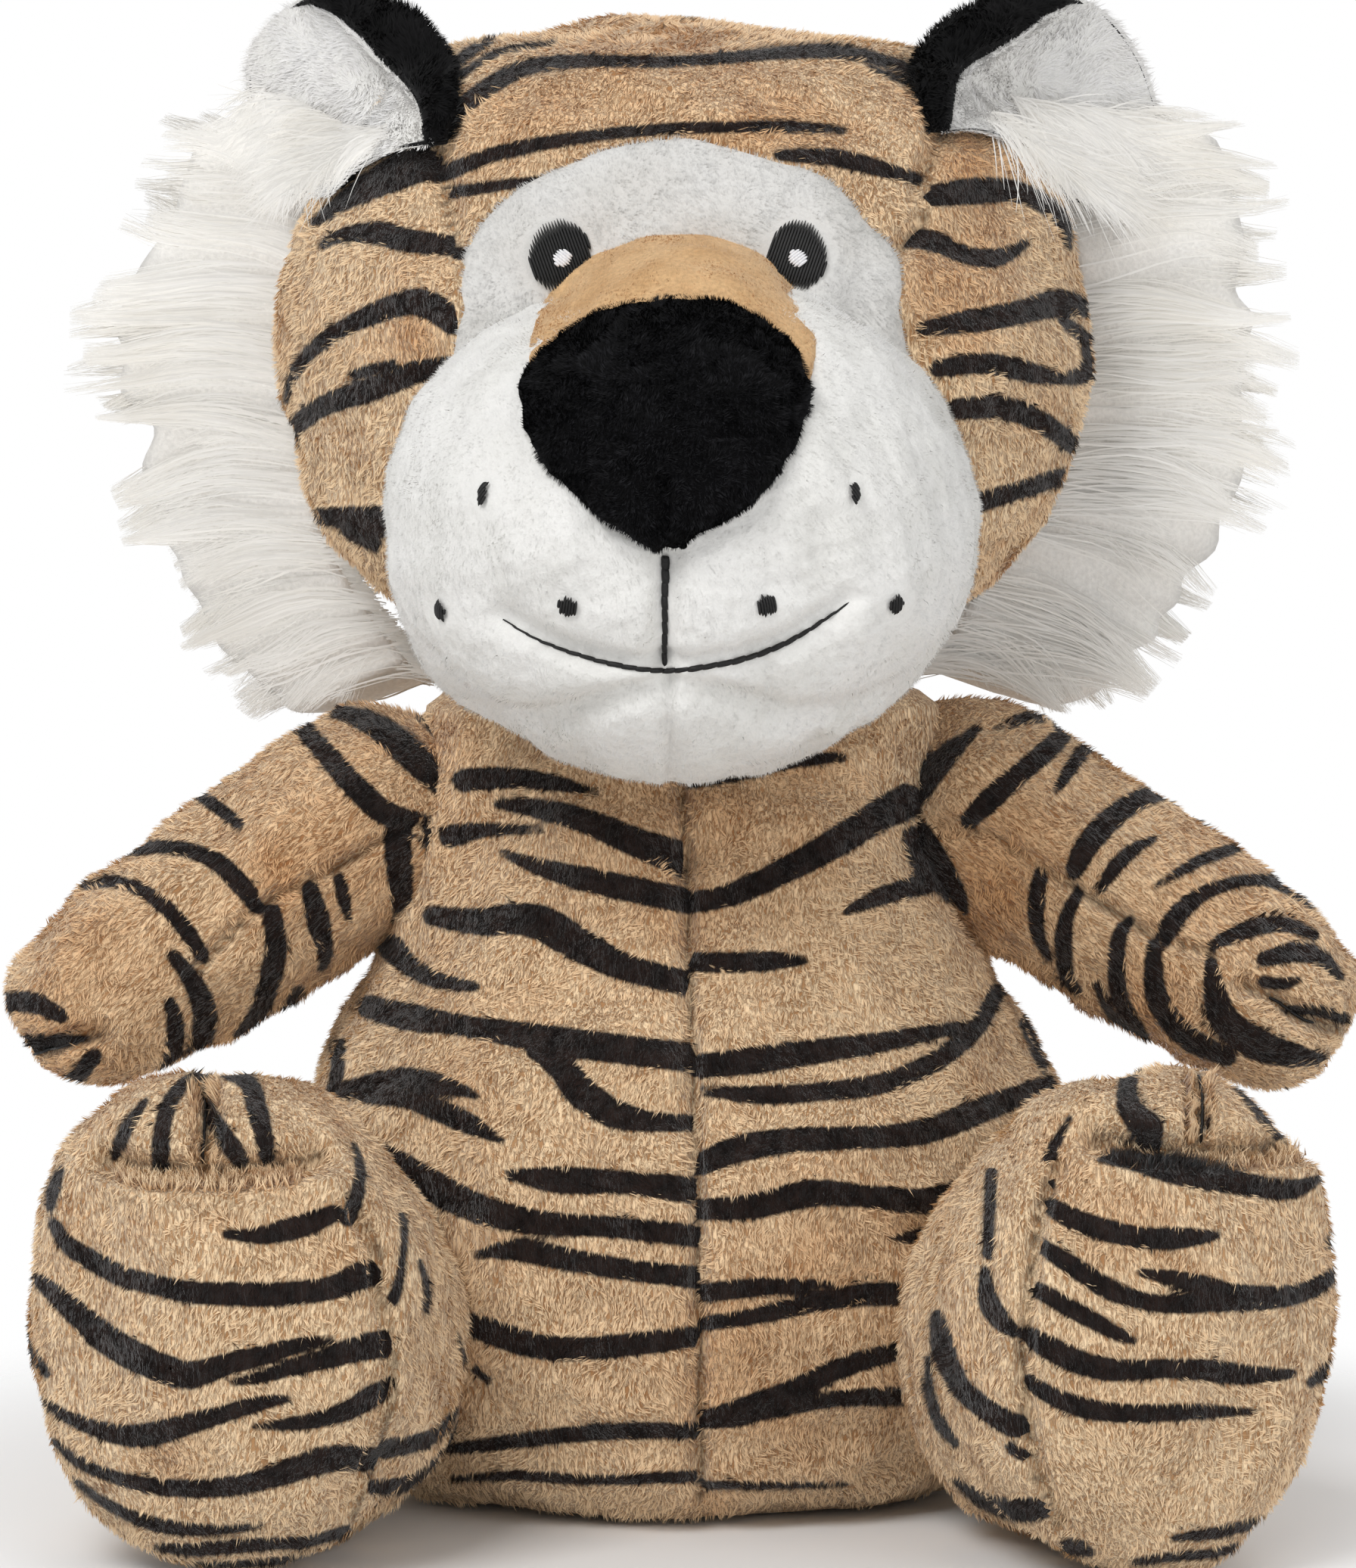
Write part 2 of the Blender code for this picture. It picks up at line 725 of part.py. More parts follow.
def mouth_ring(radius, place, along, across, rise, sides):
    """A ring of the channel that joins a limb's hollow to its open root."""
    size = root_mouth_share * radius
    return ring(along * place, across, rise, size, size, sides)


def arm_ring(share, inset, sides, along):
    """One ring of the arm, across its length, drawn in by an inset."""
    tall, deep = on_curve(arm_shares, share)
    place = along * share * (arm_length - inset)
    return ring(place, up, back, tall * arm_radius - inset, deep * arm_radius - inset, sides)


def make_arm(label, side):
    """A stuffed arm on its shoulder pivot, with its filling and the stitch that parts its toes."""
    level = shoulder_height / torso_height
    out = torso_half_sizes(level)[0] + pivot_stand_off_share * arm_radius
    forward = shoulder_forward_share * torso_depth
    shoulder = pivot("shoulder_pivot_" + label, (side * out, -forward, shoulder_height))
    shoulder.rotation_euler = (0, side * arm_droop, -side * arm_lean)
    along = right * side
    tip = [along * arm_length]
    outer_shares = [0, 0.12, 0.26, 0.40, 0.54, 0.66, 0.76, 0.84, 0.90, 0.95, 0.985]
    inner_shares = [arm_cavity_share, 0.45, 0.65, 0.80, 0.90, 0.96]
    outside = [tip] + [arm_ring(share, 0, limb_sides, along) for share in reversed(outer_shares)]
    outside += list(reversed(root_rings(arm_radius, along, up, back, limb_sides)))
    channel = mouth_ring(arm_radius, arm_cavity_share * (arm_length - plush_wall), along, up, back, limb_sides)
    inside = [channel] + [arm_ring(share, plush_wall, limb_sides, along) for share in inner_shares]
    inside.append([along * (arm_length - plush_wall)])
    cover = skin("arm_cover_" + label, outside + inside, tan_plush, shoulder)
    inset = plush_wall + touch_gap
    stuffing = [arm_ring(share, inset, limb_sides, along) for share in inner_shares]
    for point in stuffing[0]:
        point.x += side * 2 * touch_gap
    stuffing.append([along * (arm_length - inset)])
    filling = skin("arm_filling_" + label, stuffing, fibre, shoulder)
    balls = root_balls("shoulder_" + label, arm_radius, shoulder)
    room = limb_room("arm_room_" + label, shoulder, balls[1], -back * side, arm_lift, arm_sweep_steps)
    shape_by(cover, room)
    shape_by(filling, room)
    stitch = []
    for share in outer_shares[-4:]:
        deep = on_curve(arm_shares, share)[1] * arm_radius
        stitch.append(Vector((side * share * arm_length, -deep, 0)))
    thread("paw_stitch_" + label, raised(stitch, -up * side), shoulder)
    return balls


def leg_ring(share, inset, sides):
    """One ring of the leg, from the floor to its top, drawn in by an inset and flat where it rests."""
    root = (0.0, 2 * hip_radius / foot_width, (hip_height - hip_radius) / foot_height)
    root += ((hip_height + hip_radius) / foot_height,)
    wide, low, high = on_curve((root,) + leg_shares, share)
    half_width = wide * foot_width / 2 - inset
    bottom = low * foot_height - floor_bite + inset
    top = high * foot_height - inset
    centre = Vector((0, -share * (leg_length - inset), (bottom + top) / 2 - hip_height))
    points = ring(centre, right, up, half_width, (top - bottom) / 2, sides, leg_squareness)
    for point in points:
        point.z = max(point.z, inset - hip_height)
    return points


def make_leg(label, side):
    """A stuffed leg with its upright foot, on its hip pivot."""
    level = hip_height / torso_height
    half_width, half_depth, belly = torso_half_sizes(level)
    x = hip_out_share * half_width
    y = -belly - half_depth * math.sqrt(1 - hip_out_share ** 2)
    hip = pivot("hip_pivot_" + label, (side * x, y, hip_height))
    hip.rotation_euler = (0, 0, side * leg_splay)
    along = -back
    outer_shares = [0, 0.14, 0.28, 0.42, 0.56, 0.68, 0.79, 0.85, 0.9, 0.94, 0.97, 0.99]
    inner_shares = [leg_cavity_share, 0.42, 0.56, 0.68, 0.79, 0.89, 0.96]
    sole = sole_centre_share * foot_height - hip_height
    outside = [[Vector((0, -leg_length, sole))]]
    outside += [leg_ring(share, 0, limb_sides) for share in reversed(outer_shares)]
    outside += list(reversed(root_rings(hip_radius, along, right, up, limb_sides)))
    channel = mouth_ring(hip_radius, leg_cavity_share * (leg_length - plush_wall), along, right, up, limb_sides)
    inside = [channel] + [leg_ring(share, plush_wall, limb_sides) for share in inner_shares]
    inside.append([Vector((0, plush_wall - leg_length, sole))])
    cover = skin("leg_cover_" + label, outside + inside, tan_plush, hip)
    inset = plush_wall + touch_gap
    stuffing = [leg_ring(share, inset, limb_sides) for share in inner_shares]
    for point in stuffing[0]:
        point.y -= 2 * touch_gap
    stuffing.append([Vector((0, inset - leg_length, sole))])
    filling = skin("leg_filling_" + label, stuffing, fibre, hip)
    balls = root_balls("hip_" + label, hip_radius, hip)
    axis = Matrix.Rotation(side * leg_splay, 3, "Z") @ -right
    room = limb_room("leg_room_" + label, hip, balls[1], axis, leg_lift, leg_sweep_steps)
    shape_by(cover, room)
    shape_by(filling, room)
    stitch = []
    for share in outer_shares[5:9]:
        top = on_curve(leg_shares, share)[2] * foot_height - hip_height
        stitch.append(Vector((0, -share * leg_length, top)))
    thread("toe_stitch_" + label, raised(stitch, -right), hip)
    return balls


def make_tail():
    """A short stuffed tail on its pivot at the back of the seat."""
    level = tail_height_share
    half_depth, belly = torso_half_sizes(level)[1:]
    behind = half_depth - belly + pivot_stand_off_share * tail_radius
    root = pivot("tail_pivot", (0, behind, level * torso_height))
    root.rotation_euler = (-tail_droop, 0, 0)
    straight = tail_length - tail_radius
    quarter = [math.pi / 2 * step / tail_steps for step in range(1, tail_steps + 1)]
    rings = [[back * -tail_radius]]
    for angle in quarter:
        size = tail_radius * math.sin(angle)
        rings.append(ring(back * -tail_radius * math.cos(angle), right, up, size, size, filling_sides))
    for step in range(1, tail_steps + 1):
        centre = back * straight * step / tail_steps
        rings.append(ring(centre, right, up, tail_radius, tail_radius, filling_sides))
    for angle in quarter[:-1]:
        size = tail_radius * math.cos(angle)
        centre = back * (straight + tail_radius * math.sin(angle))
        rings.append(ring(centre, right, up, size, size, filling_sides))
    rings.append([back * tail_length])
    tail = skin("tail", rings, tan_plush, root)
    balls = root_balls("tail", tail_radius, root)
    shape_by(tail, limb_room("tail_room", root, balls[1]))
    return balls


torso_cover, torso_filling = make_torso()
limbs = [make_arm("left", -1), make_arm("right", 1), make_leg("left", -1), make_leg("right", 1), make_tail()]
for socket, root in limbs:
    shape_by(torso_cover, socket)
    shape_by(torso_filling, socket)

neck = pivot("neck_pivot", (0, 0, neck_height))
head_room = head_form("head_room", touch_gap, neck)
make_head(neck)
make_muzzle(neck, head_room, shoulder_room("shoulder_room"))
rooms = make_nose(neck, head_room)
make_eye("eye_left", -1, neck, rooms)
make_eye("eye_right", 1, neck, rooms)
make_mouth(neck)
for label, side in (("left", -1), ("right", 1)):
    make_ear("ear_lining_" + label, side, 0, felt_wall, white_plush, neck, head_room)
    near, far = felt_wall + touch_gap, 2 * felt_wall + touch_gap
    make_ear("ear_back_" + label, side, near, far, black_plush, neck, head_room)
    make_mane("mane_" + label, side, neck, head_room)
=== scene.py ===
"""Looks of the seated plush tiger: cloth with seams, striped pile, long fur, embroidery and a plain studio."""

import math

import bpy
import numpy as np
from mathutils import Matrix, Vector


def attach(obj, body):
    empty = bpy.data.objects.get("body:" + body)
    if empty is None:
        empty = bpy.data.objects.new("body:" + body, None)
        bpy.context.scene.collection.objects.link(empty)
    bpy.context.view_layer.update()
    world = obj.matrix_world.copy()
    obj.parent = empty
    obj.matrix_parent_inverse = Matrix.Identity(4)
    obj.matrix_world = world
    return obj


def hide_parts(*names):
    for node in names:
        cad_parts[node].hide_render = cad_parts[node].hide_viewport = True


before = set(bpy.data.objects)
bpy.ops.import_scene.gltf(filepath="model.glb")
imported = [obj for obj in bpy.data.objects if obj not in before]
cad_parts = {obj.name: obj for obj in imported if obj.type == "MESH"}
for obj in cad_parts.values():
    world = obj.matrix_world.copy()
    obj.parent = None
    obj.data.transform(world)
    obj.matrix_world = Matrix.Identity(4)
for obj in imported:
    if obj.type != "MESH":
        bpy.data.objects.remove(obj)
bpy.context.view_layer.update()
rng = np.random.default_rng(11)
MM = 0.001
DENSITY = 1.0
PHOTO_WIDE, PHOTO_HIGH = 1792, 2072

# Camera, in millimetres
AIM = np.array((-0.7, 0.0, 111.8))
DISTANCE, ELEVATION, FOCAL = 1150.0, math.radians(6.0), 9528.0
SIN, COS = math.sin(ELEVATION), math.cos(ELEVATION)
TO_CAMERA = np.array((0.0, -COS, SIN))
EYE = AIM + DISTANCE * TO_CAMERA


def to_photo(p):
    """Photo pixels of points in millimetres."""
    rel = p - AIM
    depth = DISTANCE + rel[..., 1] * COS - rel[..., 2] * SIN
    up = rel[..., 1] * SIN + rel[..., 2] * COS
    return np.stack((PHOTO_WIDE / 2 + FOCAL * rel[..., 0] / depth, PHOTO_HIGH / 2 - FOCAL * up / depth), axis=-1)


def from_photo(px, front):
    """Points on a front surface y = front(x, z) that lie under photo pixels."""
    px = np.asarray(px, float)
    y = np.full(px.shape[:-1], -60.0)
    for _ in range(12):
        x = (px[..., 0] - PHOTO_WIDE / 2) / FOCAL * (DISTANCE + y * COS) + AIM[0]
        ray = (PHOTO_HIGH / 2 - px[..., 1]) / FOCAL
        depth = (DISTANCE + y * COS - y * SIN * SIN / COS) / (1 + ray * SIN / COS)
        z = AIM[2] + (ray * depth - y * SIN) / COS
        y = 0.5 * y + 0.5 * front(x, z)
    return np.stack((x, y, z), axis=-1)


# Curves and fields
def on_curve(rows, keys):
    """Values beside keys in the first column, on a smooth curve through the rows."""
    table = np.array(rows, float)
    xs, ys = table[:, 0], table[:, 1:]
    keys = np.atleast_1d(np.asarray(keys, float))
    slopes = np.gradient(ys, xs, axis=0)
    low = np.clip(np.searchsorted(xs, keys) - 1, 0, len(xs) - 2)
    span = (xs[low + 1] - xs[low])[:, None]
    t = ((keys - xs[low]) / span[:, 0])[:, None]
    start = (1 + 2 * t) * (1 - t) ** 2 * ys[low] + t * (1 - t) ** 2 * span * slopes[low]
    return start + t * t * (3 - 2 * t) * ys[low + 1] + t * t * (t - 1) * span * slopes[low + 1]


def smooth_line(points, steps=4):
    """A finer line through points, each with any number of values."""
    points = np.array(points, float)
    if len(points) < 3:
        return points
    keys = np.arange(len(points), dtype=float)
    fine = np.linspace(0, len(points) - 1, (len(points) - 1) * steps + 1)
    return on_curve(np.column_stack((keys, points)), fine)


def waves(p, size, seed):
    """Smooth noise of about unit size over points, whose features are about size millimetres."""
    draw = np.random.default_rng(seed)
    total = np.zeros(p.shape[:-1])
    for _ in range(14):
        way = draw.normal(size=p.shape[-1])
        way /= np.linalg.norm(way)
        total += np.sin(p @ way * (math.tau / size * draw.uniform(0.6, 1.6)) + draw.uniform(0, math.tau))
    return total / 2.6


def rounded(outline, spread):
    """A closed outline, drawn finer and rounded over a few of its steps."""
    fine = smooth_line(np.vstack((outline, outline[:1])), 6)[:-1]
    offsets = np.arange(-2 * spread, 2 * spread + 1)
    weights = np.exp(-((offsets / spread) ** 2))
    return sum(np.roll(fine, k, 0) * w for k, w in zip(offsets, weights)) / weights.sum()


def line_distance(p, line):
    """Distance of 2-D points from a polyline, and how wide the line is where each is nearest."""
    best = np.full(len(p), 1e9)
    wide = np.zeros(len(p))
    for a, b in zip(line, line[1:]):
        way = b[:2] - a[:2]
        t = np.clip(((p - a[:2]) @ way) / max(way @ way, 1e-9), 0, 1)
        d = np.hypot(*(p - a[:2] - t[:, None] * way).T)
        near = d < best
        best[near] = d[near]
        if len(a) > 2:
            wide[near] = (a[2] + t * (b[2] - a[2]))[near]
    return best, wide


def ink(p, strokes, unit):
    """Signed distance in millimetres into the nearest brush stroke, over 2-D points."""
    flat = p.reshape(-1, 2)
    result = np.full(len(flat), -6.0)
    for stroke in strokes:
        line = smooth_line(stroke, 3)
        reach = line[:, 2].max() + 6.0 / unit
        low, high = line[:, :2].min(0) - reach, line[:, :2].max(0) + reach
        near = np.where(((flat > low) & (flat < high)).all(1))[0]
        if len(near):
            d, w = line_distance(flat[near], line)
            result[near] = np.maximum(result[near], (w - d) * unit)
    return result.reshape(p.shape[:-1])


def panelled_ink(px, strokes, seams):
    """Ink of a print whose strokes end at seams, each a line of the photograph that runs downwards."""
    def panel(at):
        return sum((at[..., 0] > np.interp(at[..., 1], *np.array(seam, float).T[::-1])).astype(int) for seam in seams)

    own = panel(px)
    result = np.full(px.shape[:-1], -6.0)
    for k in range(len(seams) + 1):
        mine = [stroke for stroke in strokes if panel(np.mean(np.array(stroke)[:, :2], axis=0)) == k]
        result = np.where(own == k, ink(px, mine, PX), result)
    return result


def unit_vectors(v):
    return v / np.maximum(np.linalg.norm(v, axis=-1, keepdims=True), 1e-9)


# Grids of cloth
def grid_normals(p):
    """Unit normals of a grid of points, whose columns run round."""
    across = np.roll(p, -1, 1) - np.roll(p, 1, 1)
    return unit_vectors(np.cross(across, np.gradient(p, axis=0)))


def outward(p, n, middle):
    """Normals that point away from a middle."""
    return n * np.sign((n * (p - middle)).sum(-1, keepdims=True))


def limb_normals(p):
    """Normals of a grid whose rows are rings, away from the middle of each ring."""
    return outward(p, grid_normals(p), p.mean(axis=1, keepdims=True))


def viewer_normals(p):
    """Normals of a grid on the side that the camera sees."""
    n = grid_normals(p)
    return n * np.sign((n * TO_CAMERA).sum(-1, keepdims=True))


def uneven(p, n, *parts):
    """Moves a surface in and out by smooth noise: amount, size of its features and seed of each part."""
    return p + n * sum(amount * waves(p, size, seed) for amount, size, seed in parts)[..., None]


def front_facing(p, n):
    """How far each point faces the camera."""
    return (n * unit_vectors(EYE - p)).sum(-1)


def near_lines(p, lines, reach=3):
    """Share from 0 to 1 near lines of the photograph, each with its half width in pixels."""
    flat = to_photo(p).reshape(-1, 2)
    share = np.zeros(len(flat))
    for line, wide in lines:
        fine = smooth_line(line, 4)
        low, high = fine[:, :2].min(0) - reach * wide, fine[:, :2].max(0) + reach * wide
        near = np.where(((flat > low) & (flat < high)).all(1))[0]
        if len(near):
            d, _ = line_distance(flat[near], fine)
            share[near] = np.maximum(share[near], np.exp(-((d / wide) ** 2)))
    return share.reshape(p.shape[:-1])


def carve(p, n, lines, depth, width):
    """Presses lines of the photograph into the side of a surface that faces the camera."""
    facing = np.clip(front_facing(p, n) * 4, 0, 1)
    press = near_lines(p, [(line, width) for line in lines], 4)
    return p - n * (press * facing * depth)[..., None]


def back_seam(p, n):
    """Draws in the seam that runs down the middle of a back."""
    return p - n * (1.3 * np.exp(-((p[..., 0] / 1.7) ** 2)) * (p[..., 1] > 8))[..., None]


def swell(p, n, spots):
    """Raises soft mounds: photo x and y, radius in pixels and height in millimetres."""
    px = to_photo(p)
    facing = np.clip(front_facing(p, n) * 4, 0, 1)
    for x, y, radius, height in spots:
        d2 = ((px - (x, y)) ** 2).sum(-1) / radius**2
        p = p + n * (np.exp(-d2) * facing * height)[..., None]
    return p


def new_mesh(name, points, faces, finish):
    """A smooth mesh object from arrays, with points in millimetres."""
    mesh = bpy.data.meshes.new(name)
    mesh.vertices.add(len(points))
    mesh.vertices.foreach_set("co", np.ascontiguousarray(points * MM, dtype=np.float32).ravel())
    sides = faces.shape[1]
    mesh.loops.add(faces.size)
    mesh.loops.foreach_set("vertex_index", np.ascontiguousarray(faces, dtype=np.int32).ravel())
    mesh.polygons.add(len(faces))
    mesh.polygons.foreach_set("loop_start", np.arange(0, faces.size, sides, dtype=np.int32))
    mesh.update(calc_edges=True)
    mesh.shade_smooth()
    mesh.materials.append(finish)
    made = bpy.data.objects.new(name, mesh)
    bpy.context.collection.objects.link(made)
    return made


def give(piece, **fields):
    """Stores numbers on the points of a piece."""
    for name, values in fields.items():
        kept = piece.data.attributes.new(name, "FLOAT", "POINT")
        kept.data.foreach_set("value", np.ascontiguousarray(values, dtype=np.float32).ravel())
    return piece


def give_nap(piece, way):
    """Says which way the nap of a piece runs."""
    kept = piece.data.attributes.new("nap", "FLOAT_VECTOR", "POINT")
    way = np.asarray(way, float) / np.linalg.norm(way)
    kept.data.foreach_set("vector", np.tile(way, len(piece.data.vertices)).astype(np.float32))
    return piece


def wrapped(grid):
    """A grid with its first column once more at its end."""
    return np.concatenate((grid, grid[:, :1]), axis=1)


def grid_faces(rows, columns):
    index = wrapped(np.arange(rows * columns).reshape(rows, columns))
    a, b, c, d = index[:-1, :-1], index[:-1, 1:], index[1:, 1:], index[1:, :-1]
    return np.stack((a, b, c, d), axis=-1).reshape(-1, 4)


def cloth(name, p, finish, **fields):
    """A cloth surface from a grid of points."""
    made = new_mesh(name, p.reshape(-1, 3), grid_faces(*p.shape[:2]), finish)
    return give(made, **fields)


def settle(piece, body, slot, *nodes):
    """Rides on a body and stands for nodes; the slot is not used."""
    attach(piece, body)
    if nodes:
        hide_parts(*nodes)
    return piece


# Pile
def scatter(p, n, count, keep=None):
    count = int(count * DENSITY)
    p, n = wrapped(p), wrapped(n)
    area = np.linalg.norm(np.cross(p[:-1, 1:] - p[:-1, :-1], p[1:, :-1] - p[:-1, :-1]), axis=-1)
    if keep is not None:
        keep = wrapped(keep)
        area = area * np.minimum(np.minimum(keep[:-1, :-1], keep[1:, 1:]), np.minimum(keep[:-1, 1:], keep[1:, :-1]))
    share = np.cumsum(area.ravel())
    picked = np.searchsorted(share, rng.random(count) * share[-1])
    picked = np.minimum(picked, area.size - 1)
    r, c = np.unravel_index(picked, area.shape)
    u, v = rng.random((2, count, 1))

    def mix(grid):
        return (
            grid[r, c] * (1 - u) * (1 - v) + grid[r, c + 1] * u * (1 - v)
            + grid[r + 1, c] * (1 - u) * v + grid[r + 1, c + 1] * u * v
        )

    return mix(p), unit_vectors(mix(n))


def pile(name, roots, normals, comb, length, width, lift, finish, swirl=0.6, clump=0.6, tuft=1.25, seed=1,
         relief=0.3, **fields):
    """Short fibres, one thin triangle each, combed over a surface."""
    count = len(roots)
    turn = waves(roots, 16.0, seed) * swirl * 0.6 + waves(roots, 5.0, seed + 1) * swirl * 0.4
    turn += rng.normal(0, 0.18, count)
    side = unit_vectors(np.cross(normals, comb))
    flat = unit_vectors(np.cross(side, normals))
    lay = flat * np.cos(turn)[:, None] + side * np.sin(turn)[:, None]
    raised = np.clip(lift + rng.normal(0, 0.14, count) + 0.10 * waves(roots, 7.0, seed + 2), 0.06, 1.4)
    grow = unit_vectors(lay * np.cos(raised)[:, None] + normals * np.sin(raised)[:, None])
    long = length * rng.uniform(0.7, 1.25, count)
    tips = roots + grow * long[:, None]
    tone = rng.random(count)
    if clump:
        cell = np.round(roots / tuft + 0.35 * waves(roots, 3.1, seed + 3)[:, None])
        key = (cell @ np.array((73856093.0, 19349663.0, 83492791.0))).astype(np.int64)
        _, group = np.unique(key, return_inverse=True)
        group = group.ravel()
        size = np.bincount(group)
        middle = np.stack([np.bincount(group, tips[:, k]) / size for k in range(3)], axis=1)
        tips += (middle[group] - tips) * (clump * rng.uniform(0.5, 1.0, count))[:, None]
        tone = 0.6 * tone + 0.4 * rng.random(len(size))[group]
    roots = roots - normals * 0.25
    roll = rng.uniform(-0.9, 0.9, count)
    wide = unit_vectors(np.cross(grow, normals))
    up = unit_vectors(np.cross(wide, grow))
    edge = wide * np.cos(roll)[:, None] + up * np.sin(roll)[:, None]
    half = edge * (width * rng.uniform(0.7, 1.3, count) / 2)[:, None]
    a, b = roots - half, roots + half
    facing = (np.cross(b - a, tips - a) * normals).sum(-1) < 0
    a[facing], b[facing] = b[facing].copy(), a[facing].copy()
    points = np.stack((a, b, tips), axis=1).reshape(-1, 3)
    faces = np.arange(3 * count).reshape(-1, 3)
    made = new_mesh(name, points, faces, finish)
    give(made, tip=np.tile((0.0, 0.0, 1.0), count), tone=np.repeat(tone, 3))
    give(made, **{key: values if values.ndim > 1 else np.repeat(values, 3) for key, values in fields.items()})
    blade = np.cross(edge, grow)
    blade *= np.sign((blade * normals).sum(-1, keepdims=True))
    soft = unit_vectors(normals + relief * blade)
    made.data.normals_split_custom_set_from_vertices(np.repeat(soft, 3, axis=0).tolist())
    return cells(made, count, np.array(((0.15, 0.15), (0.85, 0.15), (0.5, 0.85))))


def cells(made, count, local):
    """A map for baking that gives each fibre a small cell of its own, with its corners at local places."""
    across = int(math.ceil(math.sqrt(count)))
    row, column = np.divmod(np.arange(count), across)
    uv = ((np.stack((column, row), axis=1)[:, None] + local[None]) / across).reshape(-1, 2)
    layer = made.data.uv_layers.new(name="OFBake")
    layer.data.foreach_set("uv", uv.astype(np.float32).ravel())
    return made


# Materials
def linear(rgb):
    """Linear colour from the usual 0 to 255 values."""
    c = np.array(rgb, float) / 255
    return (*np.where(c <= 0.04045, c / 12.92, ((c + 0.055) / 1.055) ** 2.4), 1.0)


def seen_rays(tree):
    """1 for the rays that show the backdrop: from the camera, in gloss and through glass."""
    ray = tree.nodes.new("ShaderNodeLightPath").outputs
    seen = ray["Is Camera Ray"]
    for kind in ("Is Glossy Ray", "Is Transmission Ray"):
        most = tree.nodes.new("ShaderNodeMath")
        most.operation = "MAXIMUM"
        tree.links.new(seen, most.inputs[0])
        tree.links.new(ray[kind], most.inputs[1])
        seen = most.outputs[0]
    return seen


class Nodes:
    """A short way to write a material's nodes."""

    def __init__(self, name):
        self.made = bpy.data.materials.new(name)
        self.made.use_nodes = True
        self.tree = self.made.node_tree
        self.tree.nodes.clear()
        self.out = self.tree.nodes.new("ShaderNodeOutputMaterial")
        self.shader = self.tree.nodes.new("ShaderNodeBsdfPrincipled")
        self.tree.links.new(self.shader.outputs[0], self.out.inputs["Surface"])
        self.coords = self.tree.nodes.new("ShaderNodeTexCoord").outputs["Object"]

    def put(self, socket, value):
        if isinstance(value, bpy.types.NodeSocket):
            self.tree.links.new(value, socket)
        elif value is not None:
            socket.default_value = value

    def field(self, name):
        node = self.tree.nodes.new("ShaderNodeAttribute")
        node.attribute_name = name
        return node.outputs["Fac"]

    def math(self, kind, a, b=None, c=None):
        node = self.tree.nodes.new("ShaderNodeMath")
        node.operation = kind
        for socket, value in zip(node.inputs, (a, b, c)):
            self.put(socket, value)
        return node.outputs[0]

    def ramp(self, value, low, high, out_low=0.0, out_high=1.0, smooth=True):
        node = self.tree.nodes.new("ShaderNodeMapRange")
        node.interpolation_type = "SMOOTHSTEP" if smooth else "LINEAR"
        for socket, number in zip(node.inputs, (value, low, high, out_low, out_high)):
            self.put(socket, number)
        return node.outputs[0]

    def noise(self, size, detail=2.0, rough=0.5):
        node = self.tree.nodes.new("ShaderNodeTexNoise")
        self.put(node.inputs["Vector"], self.coords)
        node.inputs["Scale"].default_value = 1000.0 / size
        node.inputs["Detail"].default_value = detail
        node.inputs["Roughness"].default_value = rough
        return node.outputs["Fac"]

    def tufts(self, size):
        """Small tufts drawn out along the nap: 0 in the gaps between them and 1 on their tops."""
        nap = self.tree.nodes.new("ShaderNodeAttribute")
        nap.attribute_name = "nap"
        along = self.tree.nodes.new("ShaderNodeVectorMath")
        along.operation = "DOT_PRODUCT"
        self.put(along.inputs[0], self.coords)
        self.put(along.inputs[1], nap.outputs["Vector"])
        drawn = self.tree.nodes.new("ShaderNodeVectorMath")
        drawn.operation = "SCALE"
        self.put(drawn.inputs[0], nap.outputs["Vector"])
        self.put(drawn.inputs["Scale"], self.math("MULTIPLY", along.outputs["Value"], -0.74))
        place = self.tree.nodes.new("ShaderNodeVectorMath")
        self.put(place.inputs[0], self.coords)
        self.put(place.inputs[1], drawn.outputs[0])
        swirl = self.noise(7.0, 1.0)
        node = self.tree.nodes.new("ShaderNodeTexNoise")
        self.put(node.inputs["Vector"], place.outputs[0])
        node.inputs["Scale"].default_value = 1000.0 / size
        node.inputs["Detail"].default_value = 3.0
        node.inputs["Roughness"].default_value = 0.6
        node.inputs["Distortion"].default_value = 0.8
        return self.ramp(node.outputs["Fac"], 0.36, 0.62), self.ramp(swirl, 0.3, 0.7)

    def brightness(self, colour, shade):
        node = self.tree.nodes.new("ShaderNodeVectorMath")
        node.operation = "SCALE"
        self.put(node.inputs[0], colour)
        self.put(node.inputs["Scale"], shade)
        return node.outputs[0]

    def blend(self, share, a, b):
        node = self.tree.nodes.new("ShaderNodeMix")
        node.data_type = "RGBA"
        self.put(node.inputs[0], share)
        self.put(node.inputs[6], a)
        self.put(node.inputs[7], b)
        return node.outputs[2]

    def bump(self, height, depth, strength):
        node = self.tree.nodes.new("ShaderNodeBump")
        node.inputs["Strength"].default_value = strength
        node.inputs["Distance"].default_value = depth * MM
        self.put(node.inputs["Height"], height)
        return node.outputs[0]

    def finish(self, colour, roughness=0.9, normal=None, sheen=0.0, sheen_rough=0.5, specular=0.15):
        self.put(self.shader.inputs["Base Color"], colour)
        self.put(self.shader.inputs["Roughness"], roughness)
        self.put(self.shader.inputs["Normal"], normal)
        self.shader.inputs["Sheen Weight"].default_value = sheen
        self.shader.inputs["Sheen Roughness"].default_value = sheen_rough
        self.shader.inputs["Specular IOR Level"].default_value = specular
        return self.made


